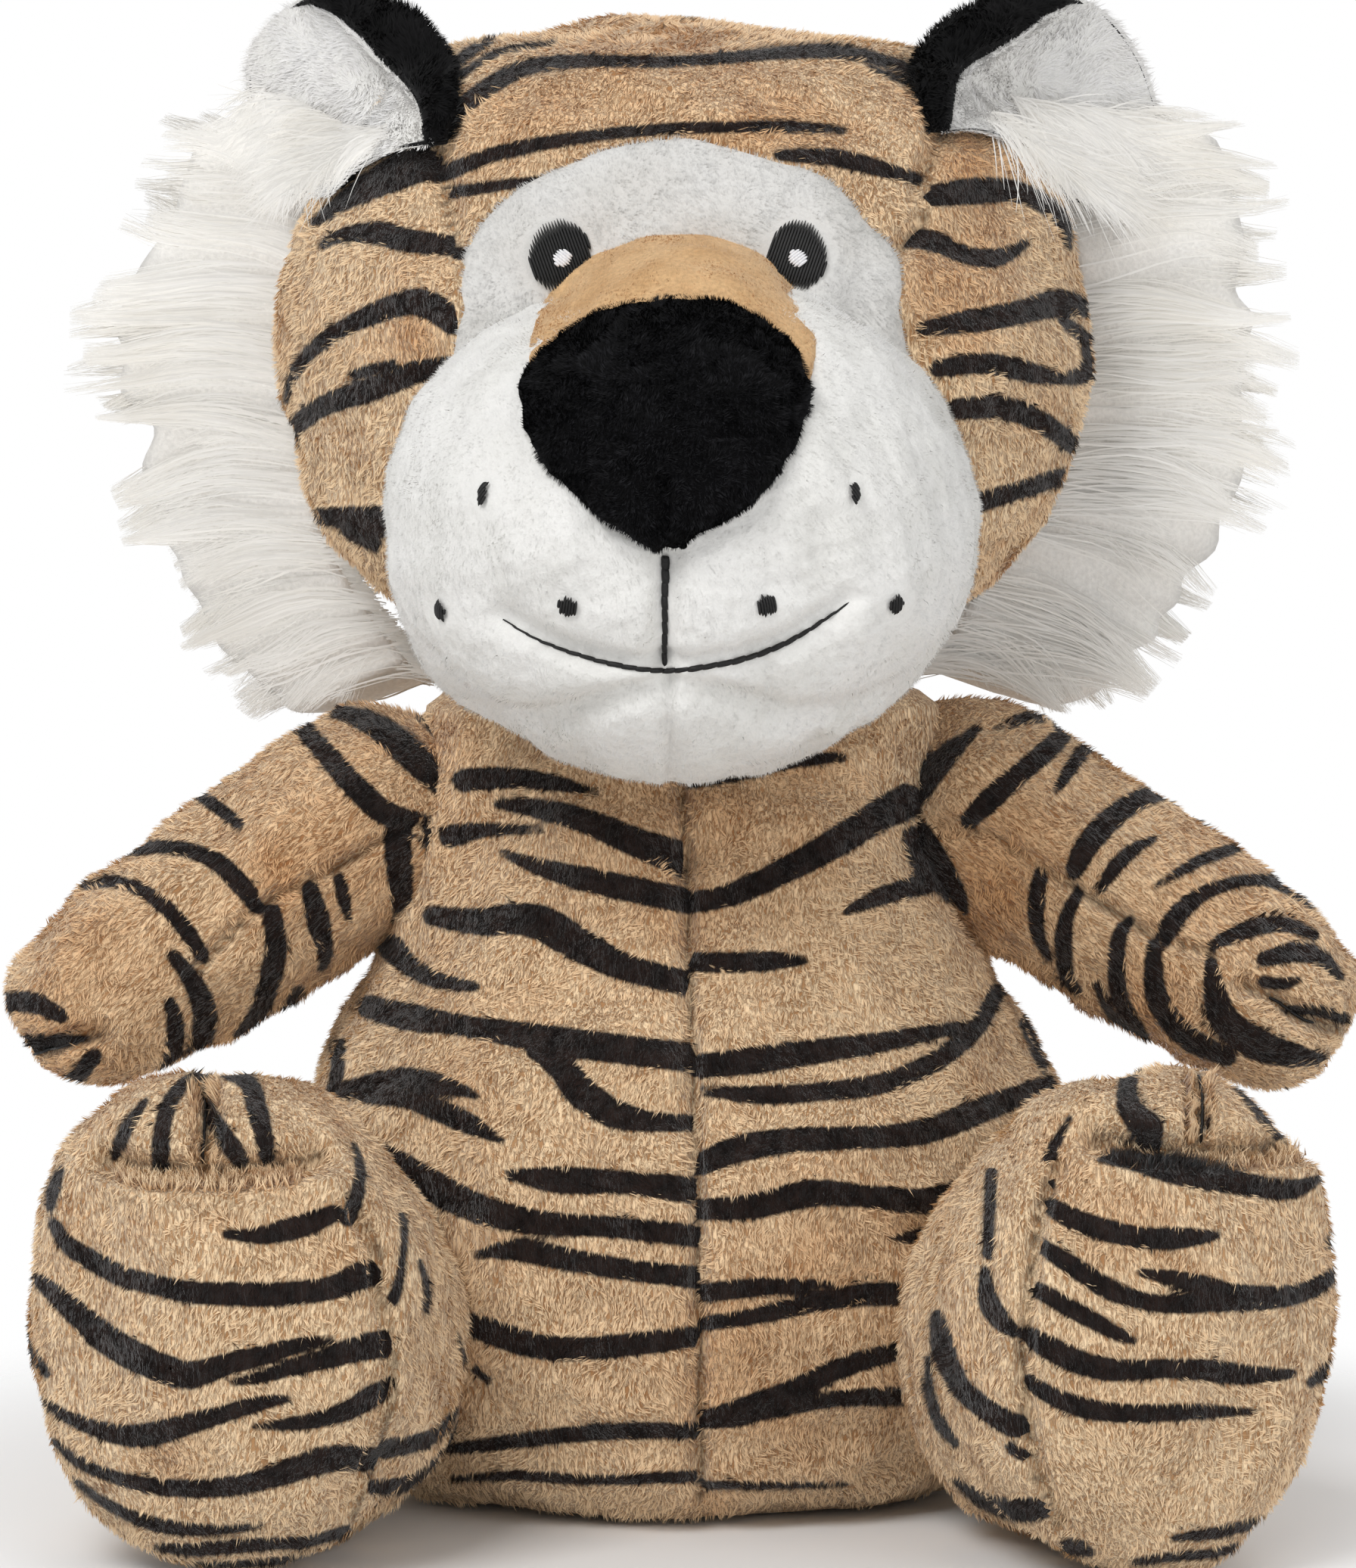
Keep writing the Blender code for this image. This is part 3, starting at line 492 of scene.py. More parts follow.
def striped(name, on_pile):
    """Tan plush with printed dark stripes; the pile carries its colour from root to tip."""
    m = Nodes(name)
    edge = m.math("MULTIPLY_ADD", m.noise(1.2, 2.0), 0.6, -0.25)
    edge = m.math("ADD", m.field("stripe"), edge)
    if on_pile:
        edge = m.math("ADD", edge, m.math("MULTIPLY_ADD", m.field("tone"), 0.4, -0.2))
    dark_share = m.ramp(edge, -0.32, 0.34)
    # Warm tone at random from the noise, plus painted shade from the field: darker, more orange patches at the spots
    # that each piece lists.
    warm_share = m.math("ADD", m.ramp(m.noise(22.0, 2.0), 0.48, 0.85, 0.0, 0.7), m.field("warm"))
    warm_share = m.math("MINIMUM", warm_share, 1.0)
    pale = m.blend(warm_share, linear((255, 226, 186)), linear((234, 186, 136)))
    # Painted light and shade in the pile: each fibre's root takes the deep colour as painted shade and its tip the pale
    # one as painted highlight.
    if on_pile:
        high = m.math("MULTIPLY_ADD", m.field("tip"), 0.75, m.math("MULTIPLY", m.field("tone"), 0.22))
        shade = m.ramp(m.field("tone"), 0.0, 1.0, 0.94, 1.05, False)
        normal = None
    else:
        # The skin under the pile is mostly the deep colour, as painted shade under the fibres, with painted shade in
        # the gaps between its tufts.
        tuft, patchy = m.tufts(0.45)
        high = m.math("MULTIPLY_ADD", tuft, 0.50, m.math("MULTIPLY_ADD", patchy, 0.12, 0.06))
        shade = m.ramp(patchy, 0.0, 1.0, 0.95, 1.03, False)
        normal = m.bump(tuft, 0.45, 0.8)
    deep = m.blend(warm_share, linear((178, 132, 88)), linear((156, 104, 62)))
    pale = m.blend(m.ramp(high, 0.0, 0.62), deep, pale)
    dark = m.blend(m.ramp(m.noise(3.0), 0.3, 0.7), linear((22, 15, 13)), linear((42, 30, 26)))
    # Painted shade along seams and creases: the colour darkens to about a third there, where the parted pile also shows
    # its backing.
    shade = m.math("MULTIPLY", shade, m.ramp(m.field("crease"), 0.0, 1.0, 1.0, 0.35, False))
    colour = m.brightness(m.blend(dark_share, pale, dark), shade)
    return m.finish(colour, 0.85, normal, sheen=0.3, sheen_rough=0.4)


def plain_plush(name, pale, deep, on_pile, size=14.0, sheen=0.2, tone_low=0.86, tone_high=1.04, grain=0.8):
    """Plush of one colour that varies softly, with a fine nap."""
    m = Nodes(name)
    colour = m.blend(m.ramp(m.noise(size, 3.0), 0.35, 0.7), linear(pale), linear(deep))
    if on_pile:
        shade = m.ramp(m.field("tone"), 0.0, 1.0, tone_low, tone_high, False)
        # Painted shade at the fibre roots: each fibre darkens from its tip to its root.
        shade = m.math("MULTIPLY", shade, m.ramp(m.field("tip"), 0.0, 1.0, tone_low, 1.0, False))
        normal = None
    else:
        fine = m.noise(grain, 3.0)
        shade = m.ramp(fine, 0.3, 0.7, tone_low, 1.0, False)
        normal = m.bump(fine, 0.25, 0.6)
    return m.finish(m.brightness(colour, shade), 0.88, normal, sheen=sheen, sheen_rough=0.45)


def knit(name):
    """Brushed black knit: broken wales under a haze of lint."""
    m = Nodes(name)
    wave = m.tree.nodes.new("ShaderNodeTexWave")
    wave.wave_type = "BANDS"
    wave.bands_direction = "X"
    wave.inputs["Scale"].default_value = 330.0
    wave.inputs["Distortion"].default_value = 9.0
    wave.inputs["Detail"].default_value = 3.0
    wave.inputs["Detail Scale"].default_value = 2.5
    m.put(wave.inputs["Vector"], m.coords)
    height = m.math("ADD", m.math("MULTIPLY", wave.outputs["Fac"], 0.35), m.noise(0.5, 4.0, 0.7))
    lint = m.ramp(height, 0.70, 1.05)
    colour = m.blend(lint, linear((4, 4, 5)), linear((32, 32, 35)))
    return m.finish(colour, m.ramp(height, 0.5, 1.0, 0.8, 0.95), m.bump(height, 0.4, 0.9), specular=0.08)


def thread(name, pale, deep):
    """Twisted embroidery thread with a soft shine."""
    m = Nodes(name)
    twist = m.noise(0.35, 2.0)
    colour = m.blend(m.ramp(twist, 0.35, 0.65), linear(pale), linear(deep))
    rough = m.ramp(twist, 0.3, 0.7, 0.42, 0.6)
    return m.finish(colour, rough, m.bump(twist, 0.06, 0.6), specular=0.3)


tan_skin = striped("tan_plush_skin", False)
tan_pile = striped("tan_plush_pile", True)
white_skin = plain_plush("white_plush_skin", (244, 243, 240), (238, 237, 233), False, tone_low=0.94, grain=0.55)
white_pile = plain_plush("white_plush_pile", (246, 245, 243), (240, 239, 235), True, tone_low=0.92)
# A darker copy of the white plush for the face patch: painted shade.
patch_pile_shaded = plain_plush("face_patch_pile", (228, 227, 225), (219, 218, 214), True, tone_low=0.92)
patch_cloth_shaded = plain_plush("face_patch_cloth", (229, 228, 225), (221, 219, 215), False, tone_low=0.94, grain=0.55)
# A lighter copy of the white plush for the ear linings: painted light against their shade.
ear_pile_lightened = plain_plush("ear_lining_pile_lightened", (252, 251, 250), (248, 246, 244), True, tone_low=0.98)
smooth_tan = plain_plush("smooth_tan_cloth", (232, 192, 143), (216, 172, 121), False, 9.0, tone_low=0.72, grain=0.6)
smooth_tan_pile = plain_plush("smooth_tan_nap", (238, 200, 152), (222, 180, 130), True, 9.0, tone_low=0.84,
                               tone_high=1.1)
black_skin = plain_plush("black_plush_skin", (13, 13, 14), (20, 19, 20), False, sheen=0.05, tone_low=0.6)
black_pile = plain_plush("black_plush_pile", (17, 17, 18), (28, 27, 28), True, sheen=0.05, tone_low=0.5)
black_lint = plain_plush("black_knit_lint", (5, 5, 6), (46, 46, 49), True, 1.2, 0.0, 0.25, 1.35)
fur_white = plain_plush("long_fur", (246, 244, 240), (238, 235, 229), True, 20.0, tone_low=0.93)
fur_under = plain_plush("long_fur_under", (246, 244, 240), (236, 233, 228), False, 18.0, tone_low=0.86, grain=0.7)
black_knit = knit("black_knit")
black_thread = thread("black_thread", (9, 9, 9), (30, 29, 29))
white_thread = thread("white_thread", (248, 248, 250), (232, 232, 236))

# Forms shared with the CAD, in millimetres
TORSO_HIGH, TORSO_HALF, TORSO_DEEP = 131.0, 63.0, 53.0
TORSO = (
    (0.000, 0.730, 0.720, 0.00), (0.038, 0.860, 0.855, 0.01), (0.107, 0.935, 0.930, 0.03),
    (0.214, 0.985, 0.985, 0.05), (0.344, 1.000, 1.000, 0.06), (0.481, 0.963, 0.960, 0.05),
    (0.553, 0.893, 0.895, 0.04), (0.626, 0.810, 0.820, 0.03), (0.725, 0.725, 0.740, 0.02),
    (0.817, 0.700, 0.670, 0.01), (0.900, 0.685, 0.600, 0.00), (0.955, 0.655, 0.540, 0.00),
)
HEAD_LOW, HEAD_HIGH, HEAD_HALF, HEAD_DEEP = 131.3, 102.0, 64.3, 48.0
HEAD = (
    (0.031, 0.520, 0.560), (0.085, 0.690, 0.700), (0.180, 0.850, 0.850), (0.300, 0.955, 0.955),
    (0.430, 0.995, 0.990), (0.535, 1.000, 1.000), (0.650, 0.968, 0.978), (0.770, 0.885, 0.910),
    (0.870, 0.775, 0.810), (0.950, 0.640, 0.690), (0.985, 0.530, 0.580), (1.000, 0.380, 0.420),
)
ARM_LONG, ARM_RADIUS = 67.0, 18.5
ARM = (
    (0.00, 1.000, 1.000), (0.20, 1.000, 0.985), (0.40, 0.975, 0.950), (0.60, 0.925, 0.900),
    (0.75, 0.855, 0.830), (0.87, 0.725, 0.700), (0.95, 0.520, 0.500), (0.985, 0.320, 0.310),
)
LEG_LONG, FOOT_HALF, FOOT_HIGH, SPLAY = 66.5, 32.0, 77.0, math.radians(19)
LEG = (
    (0.00, 0.810, 0.058, 0.721), (0.14, 0.845, 0.028, 0.757), (0.28, 0.900, 0.006, 0.815),
    (0.42, 0.955, 0.000, 0.890), (0.56, 0.990, 0.000, 0.962), (0.68, 0.985, 0.000, 0.998),
    (0.79, 0.925, 0.012, 0.985), (0.89, 0.760, 0.075, 0.900), (0.96, 0.500, 0.190, 0.740),
    (0.99, 0.270, 0.300, 0.600),
)
SHOULDER = np.array((48.405, -4.24, 107.027))
HIP = np.array((54.223, -28.615, 29.999))
TAIL_ROOT, TAIL_LONG, TAIL_RADIUS, TAIL_DROOP = np.array((0, 52.13, 18.34)), 62.0, 8.5, math.radians(9)


def oval(angle, squareness):
    """Unit oval: across and up for angles, where 2 is a plain circle."""
    c, s = np.cos(angle), np.sin(angle)
    return np.sign(s) * np.abs(s) ** (2 / squareness), np.sign(c) * np.abs(c) ** (2 / squareness)


def loft(half_a, half_b, centre, across, up, sides, squareness, close=0.0):
    """A grid of ovals, one row for each centre, whose columns may stand closer where the oval starts."""
    angle = np.linspace(0, math.tau, sides, endpoint=False)
    angle = angle - close * np.sin(angle)
    a, b = oval(angle, squareness)
    return (
        centre[:, None, :]
        + half_a[:, None, None] * a[None, :, None] * np.asarray(across, float)
        + half_b[:, None, None] * b[None, :, None] * np.asarray(up, float)
    )


def torso_grid():
    share = np.linspace(0, 0.955, 130)
    size = on_curve(TORSO, share)
    low = np.linspace(0.02, 0.97, 12)
    half_x = np.concatenate((low * 46, size[:, 0] * TORSO_HALF, (38.0, 34.0, 25.0, 12.0, 1.0)))
    half_y = np.concatenate((low * 38.2, size[:, 1] * TORSO_DEEP, (25.5, 22.0, 16.0, 8.0, 1.0)))
    belly = np.concatenate((low * 0, size[:, 2] * TORSO_DEEP, np.zeros(5)))
    z = np.concatenate((np.full(12, 0.4), 0.4 + share * (TORSO_HIGH - 0.4), (127.6, 129.5, 130.2, 130.4, 130.4)))
    centre = np.stack((0 * z, -belly, z), axis=1)
    return loft(half_x, half_y, centre, (1, 0, 0), (0, -1, 0), 400, 2.15, 0.68)


def head_grid():
    share = np.linspace(0.031, 1.0, 120)
    size = on_curve(HEAD, share)
    half_x = np.concatenate(((2.0, 16.0, 26.0), size[:, 0] * HEAD_HALF, (19.0, 12.0, 5.0, 0.5)))
    half_y = np.concatenate(((2.0, 16.0, 22.0), size[:, 1] * HEAD_DEEP, (16.0, 10.0, 4.0, 0.5)))
    z = np.concatenate(((131.6, 131.6, 132.2), HEAD_LOW + share * HEAD_HIGH, (234.0, 234.5, 234.8, 234.9)))
    centre = np.stack((0 * z, 0 * z, z), axis=1)
    return loft(half_x, half_y, centre, (1, 0, 0), (0, -1, 0), 300, 2.1)


def head_front(x, z):
    """Depth of the head's front under the face."""
    share = np.clip((z - HEAD_LOW) / HEAD_HIGH, 0.031, 1.0)
    size = on_curve(HEAD, np.ravel(share)).reshape(*np.shape(share), 2)
    side = np.clip(np.abs(x) / (size[..., 0] * HEAD_HALF), 0, 0.98)
    return -size[..., 1] * HEAD_DEEP * (1 - side**2.1) ** (1 / 2.1)


def padded_front(x, z, cx, cy, cz, half_x, reach, half_z, squareness=2.15, fullness=0.92):
    """Depth of a padded form's front."""
    e = (np.abs((x - cx) / half_x) ** squareness + np.abs((z - cz) / half_z) ** squareness) ** (1 / squareness)
    sine = np.clip(e, 0, 1) ** (1 / fullness)
    return cy - reach * np.sqrt(1 - sine**2)


def muzzle_front(x, z):
    return padded_front(x, z, 0, -43.2, 156.0, 45.0, 42.0, 38.0)


def bridge_front(x, z):
    return padded_front(x, z, 0, -43.2, 172.5, 23.0, 30.0, 28.5)


def nose_front(x, z):
    return padded_front(x, z, 0, -43.2, 163.0, 34.1, 47.0, 33.75)


def turned(p, place, about_z=0.0, about_y=0.0):
    """Turns local points about Y, then Z, and moves them to their place."""
    c, s = math.cos(about_y), math.sin(about_y)
    p = p @ np.array(((c, 0, s), (0, 1, 0), (-s, 0, c))).T
    c, s = math.cos(about_z), math.sin(about_z)
    return p @ np.array(((c, -s, 0), (s, c, 0), (0, 0, 1))).T + place


def even_shares(rows, scale, count):
    """Shares along an outline, spaced evenly over the surface."""
    fine = np.linspace(rows[0][0], 0.99999, 500)
    table = tuple(rows) + ((1.0,) + tuple(rows[-1][1:]),)
    size = on_curve(table, fine)[:, 0]
    size = np.where(fine > rows[-1][0], rows[-1][1] * np.sqrt(np.clip((1 - fine) / (1 - rows[-1][0]), 0, 1)), size)
    step = np.hypot(np.diff(fine) * scale[0], np.diff(size) * scale[1])
    run = np.concatenate(((0,), np.cumsum(step)))
    return np.interp(np.linspace(0, run[-1], count), run, fine)


def arm_grid(side):
    share = even_shares(ARM, (ARM_LONG, ARM_RADIUS), 90)
    size = on_curve(ARM, np.minimum(share, 0.985))
    fade = np.sqrt(np.clip((1 - share) / 0.015, 0, 1))[:, None]
    size = np.where(share[:, None] > 0.985, size * fade, size)
    root = np.linspace(-0.95, -0.06, 8)
    ball = np.sqrt(1 - root**2)
    along = np.concatenate((root * ARM_RADIUS, share * ARM_LONG))
    half_z = np.concatenate((ball, size[:, 0])) * ARM_RADIUS
    half_y = np.concatenate((ball, size[:, 1])) * ARM_RADIUS
    centre = np.stack((side * along, 0 * along, 0 * along), axis=1)
    return loft(half_y, half_z, centre, (0, -side, 0), (0, 0, 1), 150, 2.0)


def place_arm(p, side):
    return turned(p, SHOULDER * (side, 1, 1), -side * math.radians(12), side * math.radians(31.5))


def leg_grid(side):
    share = even_shares(LEG, (LEG_LONG, FOOT_HALF), 120)
    size = on_curve(LEG, np.minimum(share, 0.99))
    fade = np.sqrt(np.clip((1 - share) / 0.01, 0, 1))
    wide = np.where(share > 0.99, size[:, 0] * fade, size[:, 0]) * FOOT_HALF
    tall = np.where(share > 0.99, (size[:, 2] - size[:, 1]) * fade, size[:, 2] - size[:, 1]) * FOOT_HIGH / 2
    middle = (size[:, 1] + size[:, 2]) / 2 * FOOT_HIGH
    root = np.linspace(-0.9, -0.1, 6)
    ball = np.sqrt(1 - root**2)
    along = np.concatenate((root * 25.5, share * LEG_LONG))
    wide = np.concatenate((ball * 25.5, wide))
    tall = np.concatenate((ball * 25.5, tall))
    middle = np.concatenate((np.full(6, 30.0), middle)) - 30.0
    centre = np.stack((0 * along, -along, middle), axis=1)
    p = loft(wide, tall, centre, (-1, 0, 0), (0, 0, 1), 210, 2.1)
    p = turned(p, HIP * (side, 1, 1), side * SPLAY)
    p[..., 2] = np.maximum(p[..., 2], 0.4)
    return p


# Stripes, as strokes of the printed cloth
def view(strokes):
    """Photo pixels of strokes that were read in an enlarged view of the torso."""
    return [[(402 + x / 1.42, 901 + y / 1.42, w / 1.42) for x, y, w in stroke] for stroke in strokes]


TORSO_STRIPES = view((
    ((300, 185, 22), (380, 180, 20), (470, 190, 15), (548, 208, 6)),
    ((365, 228, 10), (450, 240, 20), (540, 265, 24), (620, 300, 28), (715, 335, 34)),
    ((275, 290, 22), (340, 278, 14), (445, 278, 6)),
    ((372, 320, 6), (450, 350, 18), (560, 378, 24), (715, 410, 24)),
    ((240, 440, 18), (330, 450, 26), (400, 445, 30), (450, 455, 34), (520, 495, 32), (600, 535, 26), (715, 565, 24)),
    ((165, 500, 26), (195, 530, 20), (250, 560, 16), (318, 572, 10)),
    ((120, 610, 22), (200, 630, 26), (300, 645, 20), (420, 665, 26), (560, 685, 28), (720, 705, 28)),
    ((435, 690, 20), (480, 720, 26), (520, 770, 30), (580, 810, 28), (650, 825, 20), (725, 828, 16)),
    ((50, 770, 14), (110, 762, 22), (180, 745, 22), (250, 755, 20), (322, 775, 8)),
    ((110, 775, 16), (200, 785, 18), (290, 820, 22), (372, 862, 6)),
    ((100, 870, 14), (160, 895, 24), (230, 940, 30), (330, 990, 28), (440, 1015, 24), (560, 1022, 20), (740, 1040, 22)),
    ((385, 925, 10), (480, 935, 26), (600, 940, 22), (735, 955, 26)),
    ((320, 1075, 6), (400, 1065, 22), (500, 1085, 22), (620, 1105, 20), (740, 1118, 22)),
    ((275, 1190, 16), (340, 1215, 24), (430, 1245, 24), (520, 1252, 22), (640, 1240, 22), (740, 1228, 20)),
    ((320, 1290, 8), (345, 1312, 8)),
    ((260, 1440, 8), (360, 1430, 14), (500, 1412, 16), (640, 1405, 16), (742, 1405, 16)),
    ((280, 1495, 6), (400, 1490, 10), (560, 1498, 10), (740, 1490, 12)),
    ((65, 680, 14), (60, 760, 14)),
    ((720, 195, 6), (800, 180, 10), (900, 150, 16), (1012, 142, 8)),
    ((720, 415, 20), (800, 400, 22), (900, 355, 24), (1000, 300, 28), (1080, 250, 30), (1130, 225, 34)),
    ((1018, 430, 8), (1090, 400, 18), (1190, 372, 20)),
    ((1140, 290, 20), (1165, 340, 26), (1235, 430, 8)),
    ((718, 525, 18), (800, 527, 20), (880, 524, 18), (938, 522, 8)),
    ((730, 722, 22), (830, 712, 26), (950, 695, 24), (1060, 680, 20), (1160, 662, 16), (1238, 645, 10)),
    ((750, 768, 8), (850, 775, 18), (960, 770, 18), (1080, 755, 20), (1180, 715, 20), (1260, 650, 18),
     (1300, 580, 14), (1320, 540, 10)),
    ((745, 905, 22), (820, 875, 26), (920, 860, 24), (1040, 855, 22), (1160, 845, 24), (1280, 800, 24),
     (1395, 755, 16)),
    ((745, 990, 20), (840, 985, 24), (950, 960, 26), (1050, 965, 22), (1160, 975, 24), (1240, 955, 26),
     (1330, 890, 16)),
    ((1102, 1045, 6), (1160, 1042, 16), (1240, 1042, 16)),
    ((745, 1148, 18), (860, 1135, 18), (985, 1132, 8)),
    ((745, 1205, 14), (850, 1190, 16), (950, 1165, 20), (1050, 1150, 22), (1180, 1150, 24)),
    ((745, 1385, 16), (820, 1370, 26), (900, 1340, 24), (1000, 1290, 20), (1090, 1262, 18), (1170, 1250, 18)),
    ((820, 1385, 8), (900, 1365, 14), (1000, 1345, 16), (1150, 1340, 18)),
    ((748, 1508, 8), (860, 1508, 8), (1020, 1505, 4)),
    ((1350, 640, 10), (1385, 720, 10)),
))
HEAD_STRIPES = (
    ((575, 175, 10), (600, 150, 12), (650, 112, 12), (700, 88, 11), (780, 80, 9), (860, 82, 8), (950, 78, 8),
     (1030, 70, 9), (1100, 68, 10), (1160, 78, 9), (1215, 98, 10)),
    ((1150, 90, 4), (1190, 105, 5), (1225, 118, 8)),
    ((590, 115, 8), (625, 88, 5), (670, 65, 5), (735, 58, 3)),
    ((585, 100, 10), (620, 70, 8), (660, 45, 4)),
    ((900, 25, 2), (1000, 21, 4), (1080, 24, 6), (1150, 40, 8), (1210, 60, 6)),
    ((580, 232, 12), (640, 208, 10), (700, 193, 10), (780, 180, 8), (860, 172, 8), (960, 168, 8), (1050, 168, 8),
     (1115, 172, 5)),
    ((580, 258, 8), (640, 248, 8), (715, 238, 6)),
    ((1030, 205, 8), (1100, 208, 12), (1160, 222, 11), (1215, 238, 8)),
    ((600, 340, 12), (630, 335, 10)),
    ((600, 235, 14), (560, 215, 26), (510, 235, 22), (460, 262, 14), (415, 295, 6)),
    ((600, 325, 14), (540, 318, 16), (500, 308, 16), (450, 312, 10), (425, 325, 5)),
    ((600, 425, 18), (560, 400, 18), (520, 405, 16), (460, 430, 12), (410, 465, 10), (385, 505, 6), (378, 530, 4)),
    ((590, 480, 10), (540, 495, 16), (490, 515, 16), (430, 535, 14), (390, 565, 12), (392, 590, 5)),
    ((470, 495, 8), (520, 480, 6)),
    ((497, 690, 22), (460, 685, 16), (412, 682, 10)),
    ((495, 720, 10), (460, 700, 10)),
    ((1220, 260, 14), (1290, 252, 18), (1350, 255, 14), (1400, 285, 12), (1412, 325, 6)),
    ((1190, 315, 12), (1230, 318, 14), (1280, 338, 12), (1320, 340, 12), (1355, 322, 6)),
    ((1220, 435, 10), (1280, 425, 16), (1340, 415, 16), (1400, 400, 18), (1438, 408, 12)),
    ((1240, 487, 12), (1300, 480, 14), (1360, 492, 14), (1400, 500, 8), (1440, 490, 14), (1435, 450, 10),
     (1405, 425, 8)),
    ((1265, 540, 14), (1330, 540, 16), (1380, 560, 14), (1420, 590, 12)),
    ((1290, 665, 14), (1340, 650, 12), (1395, 632, 12), (1410, 625, 8)),
    ((1240, 165, 5), (1300, 155, 8), (1345, 165, 5)),
)
ARM_STRIPES = {
    -1: (
        ((525, 912, 8), (555, 935, 12), (580, 965, 12), (603, 1000, 8)),
        ((445, 940, 10), (490, 955, 16), (530, 985, 20), (565, 1020, 18), (600, 1050, 14)),
        ((400, 960, 12), (430, 995, 14), (470, 1040, 16), (510, 1075, 16), (545, 1080, 10)),
        ((262, 1050, 7), (285, 1065, 9), (315, 1088, 8)),
        ((135, 1140, 5), (180, 1122, 8), (230, 1120, 10), (280, 1135, 12), (315, 1165, 14), (340, 1200, 10)),
        ((110, 1172, 5), (150, 1165, 8), (190, 1178, 9), (225, 1205, 11), (250, 1235, 11), (268, 1265, 10)),
        ((10, 1325, 14), (45, 1325, 14), (80, 1342, 10)),
        ((12, 1385, 14), (50, 1378, 12), (90, 1375, 8), (120, 1372, 3)),
        ((75, 1440, 8), (100, 1425, 12), (125, 1395, 10)),
        ((228, 1262, 8), (250, 1290, 12), (268, 1325, 16), (270, 1360, 16), (255, 1400, 12)),
        ((225, 1325, 8), (232, 1355, 12), (228, 1395, 12), (212, 1415, 6)),
        ((360, 1205, 12), (365, 1250, 15), (355, 1300, 15), (340, 1340, 12), (315, 1370, 8)),
        ((410, 1175, 12), (420, 1215, 16), (430, 1260, 10), (425, 1280, 5)),
        ((448, 1160, 8), (455, 1190, 9), (462, 1215, 4)),
        ((525, 1100, 18), (528, 1150, 18), (532, 1200, 14), (530, 1250, 10)),
        ((575, 1090, 18), (578, 1140, 14), (572, 1195, 8)),
        ((395, 1310, 8), (375, 1330, 5)),
    ),
    1: (
        ((1215, 965, 8), (1200, 990, 8), (1190, 1010, 5)),
        ((1290, 965, 6), (1265, 985, 12), (1235, 1015, 18), (1205, 1050, 20), (1190, 1075, 14)),
        ((1320, 965, 6), (1350, 950, 8), (1380, 950, 6)),
        ((1410, 965, 12), (1385, 990, 14), (1350, 1020, 14), (1310, 1055, 16), (1280, 1085, 12)),
        ((1450, 975, 8), (1425, 1000, 10), (1405, 1030, 8), (1395, 1045, 4)),
        ((1570, 1048, 8), (1540, 1045, 12), (1500, 1060, 14), (1465, 1085, 16), (1435, 1120, 16), (1420, 1150, 12)),
        ((1525, 1108, 5), (1495, 1125, 9), (1470, 1150, 10), (1455, 1175, 6)),
        ((1650, 1115, 4), (1620, 1125, 8), (1580, 1140, 8), (1525, 1172, 3)),
        ((1738, 1200, 5), (1700, 1172, 9), (1660, 1162, 8), (1610, 1172, 9), (1570, 1195, 12), (1545, 1225, 14),
         (1540, 1245, 8)),
        ((1735, 1235, 8), (1700, 1222, 10), (1660, 1225, 12), (1620, 1240, 10), (1600, 1250, 6)),
        ((1770, 1290, 6), (1745, 1265, 12), (1710, 1258, 14), (1670, 1268, 10)),
        ((1600, 1270, 8), (1605, 1310, 16), (1620, 1350, 20), (1660, 1380, 22), (1710, 1395, 16), (1745, 1400, 8)),
        ((1525, 1250, 10), (1525, 1300, 14), (1540, 1340, 16), (1575, 1375, 16), (1620, 1395, 14)),
        ((1670, 1297, 8), (1695, 1300, 8), (1715, 1295, 5)),
        ((1700, 1335, 6), (1740, 1335, 8), (1775, 1345, 8)),
        ((1495, 1215, 6), (1480, 1235, 10), (1475, 1280, 12), (1480, 1320, 12), (1500, 1360, 12), (1520, 1385, 8)),
        ((1425, 1180, 8), (1410, 1210, 10), (1405, 1250, 12), (1410, 1290, 10), (1425, 1310, 6)),
        ((1375, 1155, 10), (1370, 1190, 12), (1370, 1230, 10), (1385, 1265, 6)),
        ((1215, 1090, 10), (1235, 1130, 16), (1265, 1180, 12), (1275, 1205, 5)),
        ((1450, 1300, 6), (1465, 1335, 7), (1490, 1365, 5)),
    ),
}
